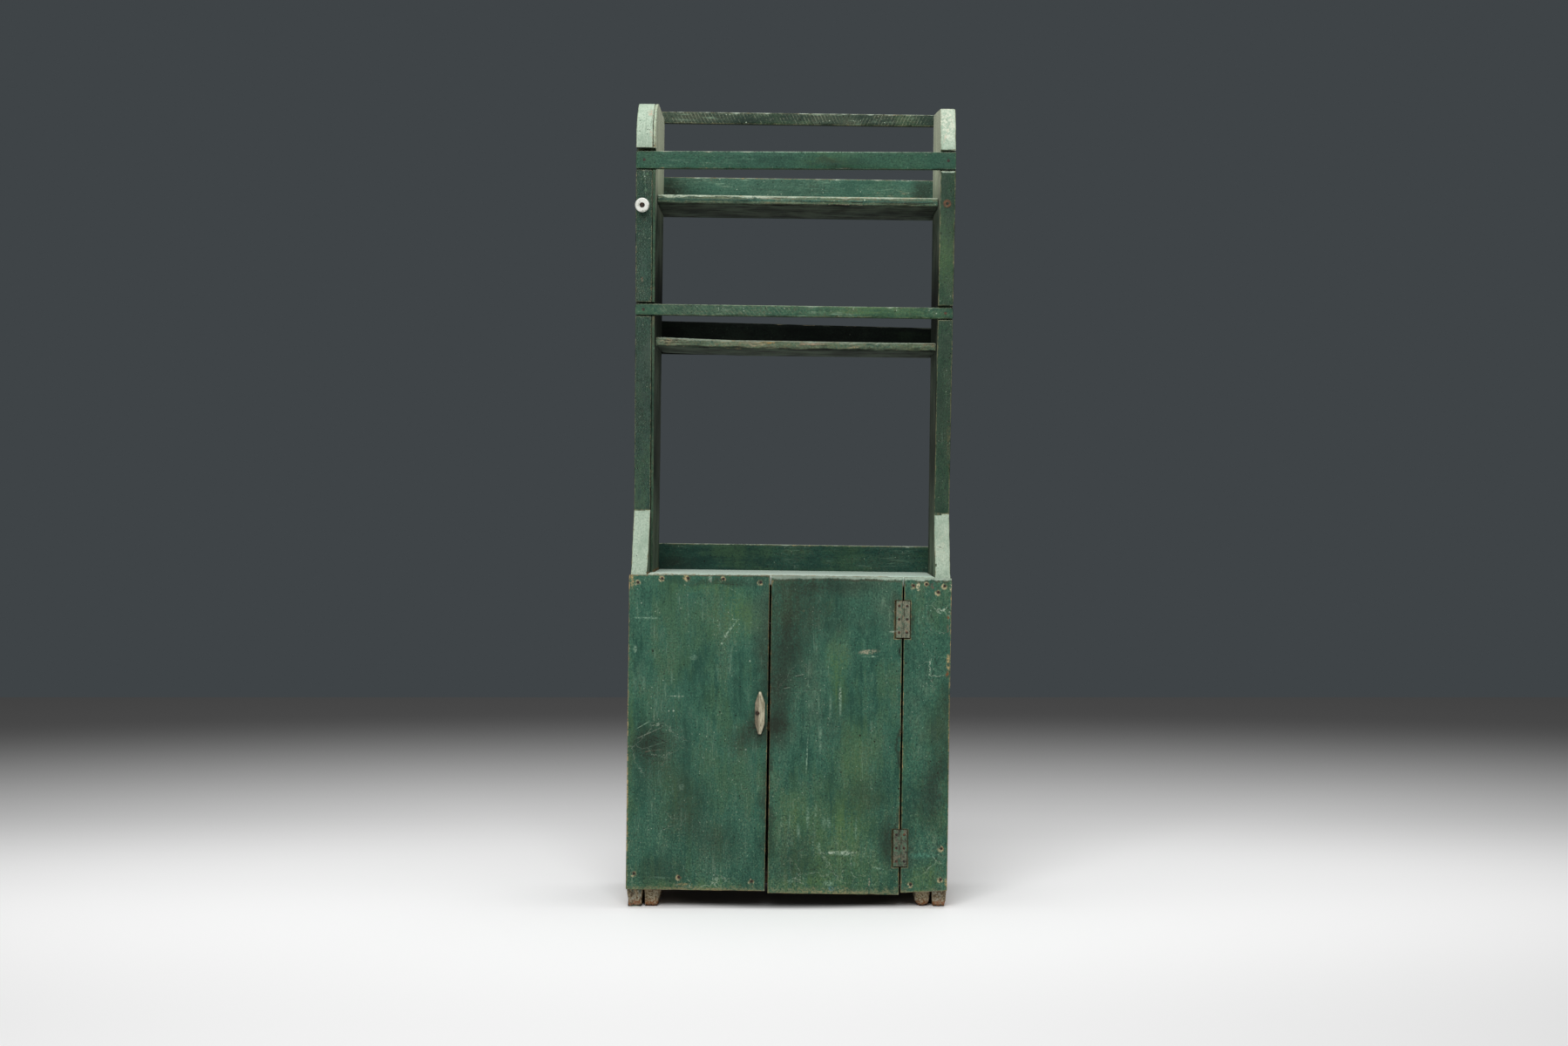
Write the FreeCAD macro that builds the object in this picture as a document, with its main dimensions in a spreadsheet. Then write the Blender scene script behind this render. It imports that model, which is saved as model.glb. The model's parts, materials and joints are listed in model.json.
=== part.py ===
import FreeCAD, Part
import os
import re
import Sketcher

# Jelly cupboard: a plank hutch with an open, two-shelf top over a one-door cupboard.
#
# Working frame, in millimetres: x to the right, y backwards from the front edges of the side
# planks, z upwards.  The whole carcass stands out of plumb, so every piece is drawn square in
# this frame, and stand() then leans it over and moves its middle to the origin.  The feet are
# sawn off along the floor, which in the square frame is the sloping line z = x * tan(lean).

SIZES = {
    # the whole piece
    "lean": 0.75,
    "overall_height": 1790,
    "carcass_depth": 288,
    "half_width": 351.5,
    # side planks, seen from the side
    "plank_left": 37.5,
    "plank_right": 35,
    "lining": 6.5,
    "slope_foot": 704,
    "waist_back": 79,
    "waist_height": 864.5,
    "notch_top_left": 1658.5,
    "notch_top_right": 1662,
    "top_left": 1771,
    "round_top": 97,
    "round_back": 5,
    "clip_right": 45,
    "clip_height": 1761,
    "top_right": 1790,
    # front rails, let into the front edges of the side planks
    "rail_deep": 20,
    "rail_set": 2,
    "rail_tall": 39,
    "rail_low_left": 1613.6,
    "rail_low_right": 1619.9,
    "middle_low": 1295,
    "middle_tall": 25.5,
    "middle_set": 34,
    "notch_play": 1.5,
    "notch_over": 3,
    # horizontal boards
    "counter_top": 727,
    "board_thick": 24,
    "floor_top": 74,
    "top_shelf_low": 1543.5,
    "top_shelf_thick": 23,
    "top_shelf_front": 55,
    "middle_shelf_low": 1223.5,
    "middle_shelf_thick": 21,
    "middle_shelf_front": 60,
    "shelf_warp": 6,
    "warp_start": -130,
    "inner_shelf_low": 380,
    "inner_shelf_front": 30,
    "inner_shelf_thick": 20,
    "cleat_wide": 22,
    "cleat_tall": 34,
    # floor bearers
    "bearer_wide": 38.5,
    "bearer_round": 12,
    "bearer_inset": 4,
    # boards across the front
    "front_thick": 22,
    "front_top": 726,
    "fixed_left": -352.5,
    "fixed_right": -44.7,
    "fixed_foot_right": -47.1,
    "fixed_foot": 37,
    "door_left": -41.8,
    "door_right": 245.3,
    "door_foot": 32.5,
    "door_play": 0.5,
    "stile_left": 248.3,
    "stile_right": 352.3,
    "stile_foot_right": 350.7,
    "stile_foot": 37.2,
    "stile_foot_outer": 42.4,
    # boards and rails across the back
    "back_thick": 18,
    "back_low": 46,
    "back_top": 787,
    "back_gap": 3,
    "top_rail_low": 1762,
    "top_rail_tall": 28,
    "second_rail_low": 1545,
    "second_rail_top": 1638,
    "third_rail_low": 1226,
    "third_rail_left": 1304,
    "third_rail_right": 1294.5,
    # butt hinges, sunk in the front faces of door and stile
    "pin_back": 1,
    "pin_radius": 1,
    "pin_play": 0.05,
    "knuckle_radius": 2,
    "knuckle_play": 0.3,
    "leaf_wide": 14.7,
    "leaf_tall": 80,
    "leaf_thick": 1.5,
    "leaf_sunk": 0.5,
    "leaf_edge": 2.8,
    "mortise_over": 1.8,
    "relief_wide": 3.2,
    "relief_deep": 4.2,
    "hinge_top_low": 594,
    "hinge_bottom_low": 95,
    "screw_out": 8.5,
    "screw_pitch": 29,
    "screw_head": 3,
    "screw_shank": 1.6,
    "screw_long": 15,
    # turn button on the fixed board
    "button_long": 92,
    "button_wide": 21.3,
    "button_thick": 15,
    "button_edge": 7,
    "button_tip": 4,
    "button_play": 0.5,
    "pivot_across": -67.8,
    "pivot_height": 426.3,
    "pivot_off": 4.7,
    "pivot_shank": 2.2,
    "pivot_play": 0.08,
    "pivot_head": 4,
    "pivot_cap": 2,
    "pivot_long": 36,
    # porcelain spool knob on the left upright
    "knob_across": -334.7,
    "knob_height": 1534,
    "knob_long": 30,
    "knob_flange": 15.5,
    "knob_rim": 9,
    "knob_waist": 9.5,
    "knob_base": 14,
    "knob_bore": 3,
    "knob_mouth": 5.8,
    "knob_mouth_deep": 6,
    "knob_screw": 2.6,
    "knob_screw_head": 5.2,
    # nails
    "nail_head": 3.2,
    "nail_head_thick": 1.2,
    "nail_shank": 1.3,
    "nail_long": 46,
    "dome_radius": 4.2,
    "ring_across": 333.3,
    "ring_height": 1546.7,
    "ring_radius": 8.5,
    "ring_hole": 3.4,
    "ring_thick": 2.4,
    "ring_proud": 0.6,
}

doc = FreeCAD.newDocument("jelly_cupboard")
sheet = doc.addObject("Spreadsheet::Sheet", "dims")
for row, (alias, size) in enumerate(SIZES.items(), start=1):
    sheet.set(f"A{row}", alias)
    sheet.set(f"B{row}", str(size))
    sheet.setAlias(f"B{row}", alias)
doc.recompute()

nodes = []


def ref(text):
    """The expression for the sheet: each word that names a size points at its cell."""
    return re.sub(r"[a-z][a-z_]+", lambda m: f"dims.{m[0]}" if m[0] in SIZES else m[0], str(text))


def value(text):
    """What an expression is worth with the sheet's present sizes."""
    return float(sheet.evalExpression(ref(text)))


def bind(obj, **fields):
    """Binds properties to sheet expressions; a double underscore stands for a dot."""
    for name, text in fields.items():
        obj.setExpression(name.replace("__", "."), ref(text))


def stand(obj):
    """Leans a square piece over and centres it on the origin at floor level."""
    about_y = FreeCAD.Rotation(FreeCAD.Vector(0, 1, 0), 1)
    obj.Placement = FreeCAD.Placement(FreeCAD.Vector(), about_y)
    bind(
        obj,
        Placement__Rotation__Angle="lean",
        Placement__Base__x="-0.5 * overall_height * tan(lean)",
        Placement__Base__y="0.5 * (front_thick + button_thick - carcass_depth - back_thick)",
    )
    return obj


def node(obj, label):
    """Registers a finished sub-part under the name of its file."""
    obj.Label = label
    nodes.append(obj)
    return obj


# ---------------------------------------------------------------- sketched boards


def outline_sketch(body, plane, outline, level):
    """A closed polygon, all its corners bound to the sheet, at a level along the plane's axis."""
    sketch = body.newObject("Sketcher::SketchObject", "outline")
    base = [item for item in body.Origin.OriginFeatures if item.Role == plane][0]
    sketch.AttachmentSupport = [(base, "")]
    sketch.MapMode = "FlatFace"
    side = -1 if plane == "XZ_Plane" else 1
    bind(sketch, AttachmentOffset__Base__z=f"{side} * ({level})")
    corners = [FreeCAD.Vector(value(across), value(up), 0) for across, up in outline]
    for index, corner in enumerate(corners):
        sketch.addGeometry(Part.LineSegment(corner, corners[(index + 1) % len(corners)]), False)
    for index, (across, up) in enumerate(outline):
        following = (index + 1) % len(corners)
        sketch.addConstraint(Sketcher.Constraint("Coincident", index, 2, following, 1))
        for kind, text, place in (
            ("DistanceX", across, corners[index].x),
            ("DistanceY", up, corners[index].y),
        ):
            where = sketch.addConstraint(Sketcher.Constraint(kind, -1, 1, index, 1, place))
            sketch.setExpression(f"Constraints[{where}]", ref(text))
    return sketch


def pad(body, plane, outline, near, far):
    """Adds a straight-sided slab from near to far along the plane's axis."""
    feature = body.newObject("PartDesign::Pad", "slab")
    feature.Profile = outline_sketch(body, plane, outline, far if plane == "XZ_Plane" else near)
    bind(feature, Length=f"({far}) - ({near})")
    doc.recompute()
    return body


def pocket(body, plane, outline, near, far):
    """Cuts a straight-sided recess from near to far, and makes sure that wood came away."""
    before = body.Shape.Volume
    feature = body.newObject("PartDesign::Pocket", "recess")
    feature.Profile = outline_sketch(body, plane, outline, near if plane == "XZ_Plane" else far)
    bind(feature, Length=f"({far}) - ({near})")
    doc.recompute()
    if not body.Shape.Volume < before - 1:
        raise RuntimeError(f"a recess in {body.Label} cuts nothing")
    return body


def body_named(label):
    body = doc.addObject("PartDesign::Body", label)
    body.Label = f"{label}_blank"
    return stand(body)


def rectangle(left, right, low, high):
    return [(left, low), (right, low), (right, high), (left, high)]


def board(label, plane, outline, near, far):
    return pad(body_named(label), plane, outline, near, far)


def soften(body, radius, *spots):
    """Rounds the straight edges of a body that pass through the given spots."""
    tip = body.Tip
    names = []
    for spot in spots:
        point = Part.Vertex(*[value(number) for number in spot])
        for index, edge in enumerate(tip.Shape.Edges, start=1):
            if edge.distToShape(point)[0] < 0.01:
                names.append(f"Edge{index}")
    if len(names) != len(spots):
        raise RuntimeError(f"{body.Label}: {len(names)} edges found for {len(spots)} spots")
    fillet = body.newObject("PartDesign::Fillet", "round")
    fillet.Base = (tip, names)
    fillet.Radius = value(radius)
    bind(fillet, Radius=radius)
    doc.recompute()
    return body


def saw_feet(body, left, right):
    """Saws a foot off along the floor."""
    floor = [
        (left, f"({left}) * tan(lean)"),
        (left, "-2 * board_thick"),
        (right, "-2 * board_thick"),
        (right, f"({right}) * tan(lean)"),
    ]
    return pocket(body, "XZ_Plane", floor, "-1", "carcass_depth + 1")


# ---------------------------------------------------------------- nails and screws


def rod(name, radius, length, place, towards=(0, 1, 0)):
    """A cylinder from a place, along a direction, in the square frame."""
    stem = doc.addObject("Part::Cylinder", name)
    stem.Placement = FreeCAD.Placement(
        FreeCAD.Vector(*[value(number) for number in place]),
        FreeCAD.Rotation(FreeCAD.Vector(0, 0, 1), FreeCAD.Vector(*towards)),
    )
    bind(stem, Radius=radius, Height=length)
    for axis, number in zip("xyz", place):
        stem.setExpression(f"Placement.Base.{axis}", ref(number))
    return stem


def cone(name, wide, narrow, length, place, towards=(0, 1, 0)):
    """A countersunk head: wide at its place, narrow at its far end."""
    head = doc.addObject("Part::Cone", name)
    head.Placement = FreeCAD.Placement(
        FreeCAD.Vector(*[value(number) for number in place]),
        FreeCAD.Rotation(FreeCAD.Vector(0, 0, 1), FreeCAD.Vector(*towards)),
    )
    bind(head, Radius1=wide, Radius2=narrow, Height=length)
    for axis, number in zip("xyz", place):
        head.setExpression(f"Placement.Base.{axis}", ref(number))
    return head


def fused(name, pieces):
    joined = doc.addObject("Part::MultiFuse", name)
    joined.Shapes = pieces
    return joined


def together(name, pieces):
    group = doc.addObject("Part::Compound", name)
    group.Links = list(pieces)
    return group


def nails(label, places, towards, long="nail_long"):
    """A group of cut nails, each a flat head sunk flush and a straight shank."""
    stems = []
    for place in places:
        stems.append(rod("nail_head", "nail_head", "nail_head_thick", place, towards))
        stems.append(rod("nail_shank", "nail_shank", long, place, towards))
    return node(stand(fused(label, stems)), label)


def bored(label, blank, *groups):
    """The finished board: its blank with a tight hole for every nail and screw through it."""
    if not groups:
        return node(blank, label)
    cut = doc.addObject("Part::Cut", f"{label}_bored")
    cut.Base = blank
    cut.Tool = together(f"{label}_fixings", groups)
    return node(cut, label)


# ---------------------------------------------------------------- driving lines

LEFT_OUT = "-half_width"
LEFT_IN = "-half_width + plank_left"
LINING_IN = "-half_width + plank_left + lining"
RIGHT_IN = "half_width - plank_right"
RIGHT_OUT = "half_width"
BACK = "carcass_depth"
BACK_OUT = "carcass_depth + back_thick"
FRONT_OUT = "-front_thick"
FLOOR_LOW = "floor_top - board_thick"
COUNTER_LOW = "counter_top - board_thick"
AXIS = "0.5 * (door_right + stile_left)"
AXIS_Y = "pin_back - front_thick"


EDGE_FALL = "(waist_back / (notch_top_left - waist_height))"


def edge_at(height):
    """How far back the front edge of a side plank lies at a height above the waist."""
    return f"({EDGE_FALL} * (notch_top_left - ({height})))"


def front_nails(label, places):
    return nails(label, [(across, FRONT_OUT, up) for across, up in places], (0, 1, 0))


# ---------------------------------------------------------------- fixings

FIXED_NAILS = [
    (-332.5, 707.4),
    (-280, 716.5),
    (-223, 717.5),
    (-146.5, 717),
    (-64.9, 710.7),
    (-333.3, 72),
    (-235.5, 65.3),
    (-76.5, 58.6),
]
STILE_NAILS = [
    (268.3, 708),
    (296.7, 711.3),
    (336.7, 708),
    (323, 693.9),
    (270.4, 56),
    (335.6, 67.8),
    (336.4, 135.3),
]
nails_fixed = front_nails("nails_fixed_board", FIXED_NAILS)
nails_stile = front_nails("nails_hinge_stile", STILE_NAILS)

# Horizontal boards are nailed through the side planks, three nails to an end.
SHELF_ENDS = {
    "floor": FLOOR_LOW + " + 0.5 * board_thick",
    "counter": COUNTER_LOW + " + 0.5 * board_thick",
    "middle_shelf": "middle_shelf_low + 0.5 * middle_shelf_thick",
    "top_shelf": "top_shelf_low + 0.5 * top_shelf_thick",
}
NAIL_ROWS = (95, 170, 245)
end_places = [(y, height) for height in SHELF_ENDS.values() for y in NAIL_ROWS]
warped = "middle_shelf_low + shelf_warp * 0.9 + 0.5 * middle_shelf_thick"
left_places = [
    (y, warped if height == SHELF_ENDS["middle_shelf"] else height) for y, height in end_places
]
nails_left = nails(
    "nails_side_left", [(LEFT_OUT, y, up) for y, up in left_places], (1, 0, 0), "1.6 * nail_long"
)
nails_right = nails(
    "nails_side_right", [(RIGHT_OUT, y, up) for y, up in end_places], (-1, 0, 0), "1.6 * nail_long"
)

# Rails: one nail into the front edge of each plank.
RAIL_ENDS = [
    ("0.5 * plank_left - half_width", "rail_set", "rail_low_left + 0.5 * rail_tall"),
    ("half_width - 0.5 * plank_right", "rail_set", "rail_low_right + 0.5 * rail_tall"),
    ("0.5 * plank_left - half_width", "middle_set", "middle_low + 0.5 * middle_tall"),
    ("half_width - 0.5 * plank_right", "middle_set", "middle_low + 0.5 * middle_tall"),
]
nails_rail = nails("nails_front_rails", RAIL_ENDS, (0, 1, 0))

# Back boards take two nails to an end and back rails one.
BOARD_COUNT = 4
BOARD_PITCH = f"((back_top - back_low + back_gap) / {BOARD_COUNT})"
back_heights = [
    f"back_low + ({index} + {part}) * {BOARD_PITCH}"
    for index in range(BOARD_COUNT)
    for part in (0.25, 0.75)
]
back_heights.append("top_rail_low + 4.5")
back_heights.append("0.5 * (second_rail_low + second_rail_top)")
back_heights.append("0.5 * (third_rail_low + third_rail_right)")
nails_back = {}
for side, across in (("left", "22 - half_width"), ("right", "half_width - 18")):
    places = [(across, BACK_OUT, up) for up in back_heights]
    nails_back[side] = nails(f"nails_back_{side}", places, (0, -1, 0))


def upright_nails():
    """Two round-headed nails standing proud of the left upright, where something hung once."""
    pieces = []
    for across, up in ((-325.7, 1601.7), (-328.9, 1566.3)):
        face = edge_at(up)
        dome = doc.addObject("Part::Sphere", "nail_dome")
        dome.Placement.Rotation = FreeCAD.Rotation(FreeCAD.Vector(1, 0, 0), 90)
        bind(dome, Radius="dome_radius", Angle1="20")
        for axis, number in zip("xyz", (across, f"{face} + 0.5 * dome_radius", up)):
            dome.setExpression(f"Placement.Base.{axis}", ref(number))
        pieces.append(dome)
        pieces.append(rod("nail_shank", "nail_shank", "nail_long", (across, face, up)))
    return node(stand(fused("nails_left_upright", pieces)), "nails_left_upright")


nails_upright = upright_nails()


def old_ring():
    """A rusted washer with its empty hole, sunk in the right upright."""
    face = edge_at("ring_height")
    outer = ("ring_across", f"{face} - ring_proud", "ring_height")
    disc = rod("ring_disc", "ring_radius", "ring_thick", outer)
    mouth = ("ring_across", f"{face} - ring_thick", "ring_height")
    hole = rod("ring_bore", "ring_hole", "8 * ring_thick", mouth)
    cut = doc.addObject("Part::Cut", "washer_right_upright")
    cut.Base = disc
    cut.Tool = hole
    return node(stand(cut), "washer_right_upright"), stand(together("nail_hole", [hole]))


washer, nail_hole = old_ring()

# ---------------------------------------------------------------- hinges

KNUCKLES = 5


def box(name, corner, length, width, height):
    block = doc.addObject("Part::Box", name)
    bind(block, Length=length, Width=width, Height=height)
    for axis, number in zip("xyz", corner):
        block.setExpression(f"Placement.Base.{axis}", ref(number))
    return block


def hinge_leaf(name, side, low):
    """A flush leaf with its own knuckles, its pin bore and three countersunk screws."""
    sign = 1 if side == "stile" else -1
    first = 0 if side == "stile" else 1
    middle = f"({low}) + 0.5 * leaf_tall"
    step = f"(leaf_tall / {KNUCKLES})"
    face = "leaf_sunk - front_thick"

    screws = []
    for turn in (-1, 0, 1):
        spot = (f"{AXIS} + {sign} * screw_out", face, f"{middle} + {turn} * screw_pitch")
        screws.append(cone("screw_head", "screw_head", "screw_shank", "leaf_thick", spot))
        screws.append(rod("screw_shank", "screw_shank", "screw_long", spot))
    screw_label = f"{name}_{side}_screws"
    screw_group = node(stand(fused(screw_label, screws)), screw_label)

    start = "leaf_edge" if sign > 0 else "-leaf_wide"
    web_start = "0" if sign > 0 else "-leaf_edge"
    corner = (f"{AXIS} + ({start})", face, low)
    metal = [box("plate", corner, "leaf_wide - leaf_edge", "leaf_thick", "leaf_tall")]
    for index in range(first, KNUCKLES, 2):
        foot = f"({low}) + {index} * {step} + 0.5 * knuckle_play"
        tall = f"{step} - knuckle_play"
        metal.append(rod("knuckle", "knuckle_radius", tall, (AXIS, AXIS_Y, foot), (0, 0, 1)))
        corner = (f"{AXIS} + ({web_start})", face, foot)
        metal.append(box("web", corner, "leaf_edge", "leaf_thick", tall))
    bore_foot = (AXIS, AXIS_Y, f"({low}) - 2")
    bore = rod("pin_bore", "pin_radius + pin_play", "leaf_tall + 4", bore_foot, (0, 0, 1))
    label = f"{name}_{side}_leaf"
    bored(label, stand(fused(f"{label}_blank", metal)), screw_group, stand(together("bore", [bore])))
    return screw_group


def hinge(name, low):
    """One butt hinge: two leaves with meshed knuckles on a loose pin; returns its screws."""
    screws = {side: hinge_leaf(name, side, low) for side in ("stile", "door")}
    shaft = rod("pin_shaft", "pin_radius", "leaf_tall", (AXIS, AXIS_Y, low), (0, 0, 1))
    crown = (AXIS, AXIS_Y, f"({low}) + leaf_tall")
    cap = rod("pin_cap", "1.7 * pin_radius", "0.6 * pin_radius", crown, (0, 0, 1))
    node(stand(fused(f"{name}_pin", [shaft, cap])), f"{name}_pin")
    return screws


HINGES = {"hinge_top": "hinge_top_low", "hinge_bottom": "hinge_bottom_low"}
hinge_screws = {name: hinge(name, low) for name, low in HINGES.items()}


def mortises(body, side):
    """Recesses for the two leaves in a front board, deeper where the knuckles turn."""
    for low in HINGES.values():
        foot = f"{low} - mortise_over"
        head = f"{low} + leaf_tall + 0.5 * mortise_over"
        for wide, deep in (
            ("(leaf_wide + mortise_over)", "leaf_sunk + leaf_thick"),
            ("relief_wide", "relief_deep"),
        ):
            if side == "door":
                outline = rectangle(f"{AXIS} - {wide}", "door_right + 1", foot, head)
            else:
                outline = rectangle("stile_left - 1", f"{AXIS} + {wide}", foot, head)
            pocket(body, "XZ_Plane", outline, "-front_thick - 1", f"{deep} - front_thick")
    return body


# ---------------------------------------------------------------- turn button and knob

BUTTON_BACK = "-front_thick - button_play"
BUTTON_PLAN = [(-0.5, 0.1), (-0.24, 0.5), (0.24, 0.5), (0.5, 0.14)]
RIDGE_LONG = 0.72
RIDGE_WIDE = 0.06
RIDGE_OFF = -0.08


def button_outline(long_scale, wide_scale, off):
    """The whittled boat shape, standing on end with its pivot nearer one long edge."""
    halves = BUTTON_PLAN + [(along, -across) for along, across in reversed(BUTTON_PLAN)]
    return [
        (
            f"pivot_across + pivot_off + {across * wide_scale + off} * button_wide",
            f"pivot_height - {along * long_scale} * button_long",
        )
        for along, across in halves
    ]


def turn_button():
    """A whittled wooden turn button, upright and so unlatched, on a nail through its waist."""
    base_plan = button_outline(1, 1, 0)
    top_plan = button_outline(RIDGE_LONG, RIDGE_WIDE, RIDGE_OFF)
    edge_level = f"{BUTTON_BACK} - button_edge"
    body = board("turn_button", "XZ_Plane", base_plan, edge_level, BUTTON_BACK)
    hip = body.newObject("PartDesign::AdditiveLoft", "hip")
    hip.Profile = outline_sketch(body, "XZ_Plane", base_plan, edge_level)
    hip.Sections = [outline_sketch(body, "XZ_Plane", top_plan, f"{BUTTON_BACK} - button_thick")]
    hip.Ruled = True
    doc.recompute()

    head_level = f"{BUTTON_BACK} - button_edge - pivot_cap"
    crown = ("pivot_across", head_level, "pivot_height")
    cap = rod("pivot_cap", "pivot_head", "pivot_cap", crown)
    shank = rod("pivot_shank", "pivot_shank", "pivot_long", crown)
    pivot = node(stand(fused("button_pivot_nail", [cap, shank])), "button_pivot_nail")

    through = ("pivot_across", f"{BUTTON_BACK} - button_thick - 1", "pivot_height")
    well = rod(
        "pivot_well", "pivot_head + 4 * pivot_play", "button_thick - button_edge + 1", through
    )
    bore = rod("pivot_bore", "pivot_shank + pivot_play", "button_thick + 2", through)
    bored("turn_button", body, stand(together("pivot_clearance", [fused("pivot_holes", [well, bore])])))
    return pivot


pivot_nail = turn_button()

KNOB_PROFILE = [
    ("0", "knob_bore"),
    ("0", "knob_base - 2"),
    ("-2", "knob_base"),
    ("-0.25 * knob_long", "knob_base"),
    ("-0.36 * knob_long", "knob_waist"),
    ("-0.62 * knob_long", "knob_waist"),
    ("knob_rim - knob_long", "knob_flange - 3"),
    ("knob_rim - knob_long - 2", "knob_flange"),
    ("2 - knob_long", "knob_flange"),
    ("-knob_long", "knob_flange - 2"),
    ("-knob_long", "knob_mouth"),
    ("knob_mouth_deep - knob_long", "knob_mouth"),
    ("knob_mouth_deep - knob_long", "knob_bore"),
]


def porcelain_knob():
    """A spool-shaped porcelain knob, square to the sloping front edge, on one long screw."""
    body = body_named("porcelain_knob")
    profile = outline_sketch(body, "YZ_Plane", KNOB_PROFILE, "knob_across")
    profile.AttachmentOffset.Rotation = FreeCAD.Rotation(FreeCAD.Vector(0, 0, 1), 1)
    bind(
        profile,
        AttachmentOffset__Base__x=edge_at("knob_height"),
        AttachmentOffset__Base__y="knob_height",
        AttachmentOffset__Rotation__Angle=f"atan({EDGE_FALL})",
    )
    turned = body.newObject("PartDesign::Revolution", "turned")
    turned.Profile = profile
    turned.ReferenceAxis = (profile, ["H_Axis"])
    turned.Angle = 360
    doc.recompute()
    node(body, "porcelain_knob")

    tilt = f"atan({EDGE_FALL})"
    inward = (0, value(f"cos({tilt})"), value(f"sin({tilt})"))
    seat = "(knob_mouth_deep - knob_long)"
    spots = [
        (
            "knob_across",
            f"{edge_at('knob_height')} + ({seat} - {back}) * cos({tilt})",
            f"knob_height + ({seat} - {back}) * sin({tilt})",
        )
        for back in ("0.5 * knob_screw_head", "0")
    ]
    head = rod("knob_screw_head", "knob_screw_head", "0.5 * knob_screw_head", spots[0], inward)
    shank = rod("knob_screw_shank", "knob_screw", "2 * knob_long", spots[1], inward)
    return node(stand(fused("knob_screw", [head, shank])), "knob_screw")


knob_screw = porcelain_knob()

# ---------------------------------------------------------------- side planks


def front_edge(low_notch, top_notch, start):
    """The front edge of a side plank, from its start up past the two rail notches."""
    middle_foot = "(middle_low - notch_play)"
    middle_head = "(middle_low + middle_tall + notch_over)"
    rail_foot = f"({low_notch} - notch_play)"
    return start + [
        ("waist_back", "waist_height"),
        (edge_at(middle_foot), middle_foot),
        ("middle_set + rail_deep", middle_foot),
        ("middle_set + rail_deep", middle_head),
        (edge_at(middle_head), middle_head),
        (edge_at(rail_foot), rail_foot),
        ("rail_set + rail_deep", rail_foot),
        ("rail_set + rail_deep", top_notch),
        ("0", top_notch),
    ]


PLANK_START = [("0", "-board_thick"), ("0", "slope_foot")]


def side_left():
    """The left plank and the thin lining nailed inside it, down past the counter's end."""
    crown = [("0", "top_left"), (BACK, "top_left")]
    front = front_edge("rail_low_left", "notch_top_left", PLANK_START)
    plank = board(
        "side_board_left", "YZ_Plane", front + crown + [(BACK, "-board_thick")], LEFT_OUT, LEFT_IN
    )
    lining_start = [("waist_back", COUNTER_LOW)]
    front = front_edge("rail_low_left", "notch_top_left", lining_start)
    lining = board(
        "side_lining_left", "YZ_Plane", front + crown + [(BACK, COUNTER_LOW)], LEFT_IN, LINING_IN
    )
    for body, across in ((plank, LEFT_OUT), (lining, LEFT_IN)):
        soften(body, "round_top", (f"{across} + 1", "0", "top_left"))
        soften(body, "round_back", (f"{across} + 1", BACK, "top_left"))
    saw_feet(plank, f"{LEFT_OUT} - 1", f"{LEFT_IN} + 1")
    bored(
        "side_board_left",
        plank,
        nails_fixed,
        nails_left,
        nails_rail,
        nails_back["left"],
        nails_upright,
        knob_screw,
    )
    bored("side_lining_left", lining, nails_left)


def side_right():
    """The right plank, its top corner clipped straight and its head rising to the back."""
    crown = [("clip_right", "clip_height"), (BACK, "top_right")]
    front = front_edge("rail_low_right", "notch_top_right", PLANK_START)
    plank = board(
        "side_board_right", "YZ_Plane", front + crown + [(BACK, "-board_thick")], RIGHT_IN, RIGHT_OUT
    )
    saw_feet(plank, f"{RIGHT_IN} - 1", f"{RIGHT_OUT} + 1")
    bored(
        "side_board_right",
        plank,
        nails_stile,
        nails_right,
        nails_rail,
        nails_back["right"],
        washer,
        nail_hole,
    )


side_left()
side_right()

# ---------------------------------------------------------------- level boards


def level_board(label, low, high, outline, *groups):
    """A plain board lying between the sides, its back edge against the back boards."""
    bored(label, board(label, "XY_Plane", outline, low, high), *groups)


around_lining = [
    (LEFT_IN, "0"),
    (RIGHT_IN, "0"),
    (RIGHT_IN, BACK),
    (LINING_IN, BACK),
    (LINING_IN, "waist_back"),
    (LEFT_IN, "waist_back"),
]
level_board(
    "counter_board",
    COUNTER_LOW,
    "counter_top",
    around_lining,
    nails_fixed,
    nails_stile,
    nails_left,
    nails_right,
)
level_board(
    "cupboard_floor",
    FLOOR_LOW,
    "floor_top",
    rectangle(LEFT_IN, RIGHT_IN, "0", BACK),
    nails_fixed,
    nails_stile,
    nails_left,
    nails_right,
)
level_board(
    "top_shelf",
    "top_shelf_low",
    "top_shelf_low + top_shelf_thick",
    rectangle(LINING_IN, RIGHT_IN, "top_shelf_front", BACK),
    nails_left,
    nails_right,
)
level_board(
    "inner_shelf",
    "inner_shelf_low",
    "inner_shelf_low + inner_shelf_thick",
    rectangle(LEFT_IN, RIGHT_IN, "inner_shelf_front", BACK),
)


def middle_shelf():
    """The middle shelf: its left end has warped upwards."""
    low = "middle_shelf_low"
    high = "(middle_shelf_low + middle_shelf_thick)"
    outline = [
        (LINING_IN, f"{low} + 0.8 * shelf_warp"),
        ("warp_start", low),
        (RIGHT_IN, low),
        (RIGHT_IN, high),
        ("warp_start", f"{high} + 0.1 * shelf_warp"),
        (LINING_IN, f"{high} + shelf_warp"),
    ]
    body = board("middle_shelf", "XZ_Plane", outline, "middle_shelf_front", BACK)
    bored("middle_shelf", body, nails_left, nails_right)


middle_shelf()


def on_both_sides(label, wide, build):
    """Makes the left and right copy of a piece that lies against the side planks."""
    build(f"{label}_left", LEFT_IN, f"{LEFT_IN} + {wide}")
    build(f"{label}_right", f"{RIGHT_IN} - {wide}", RIGHT_IN)


def cleat(label, left, right):
    outline = rectangle(left, right, "inner_shelf_front", f"{BACK} - bearer_inset")
    low = "inner_shelf_low - cleat_tall"
    bored(label, board(label, "XY_Plane", outline, low, "inner_shelf_low"))


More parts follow.
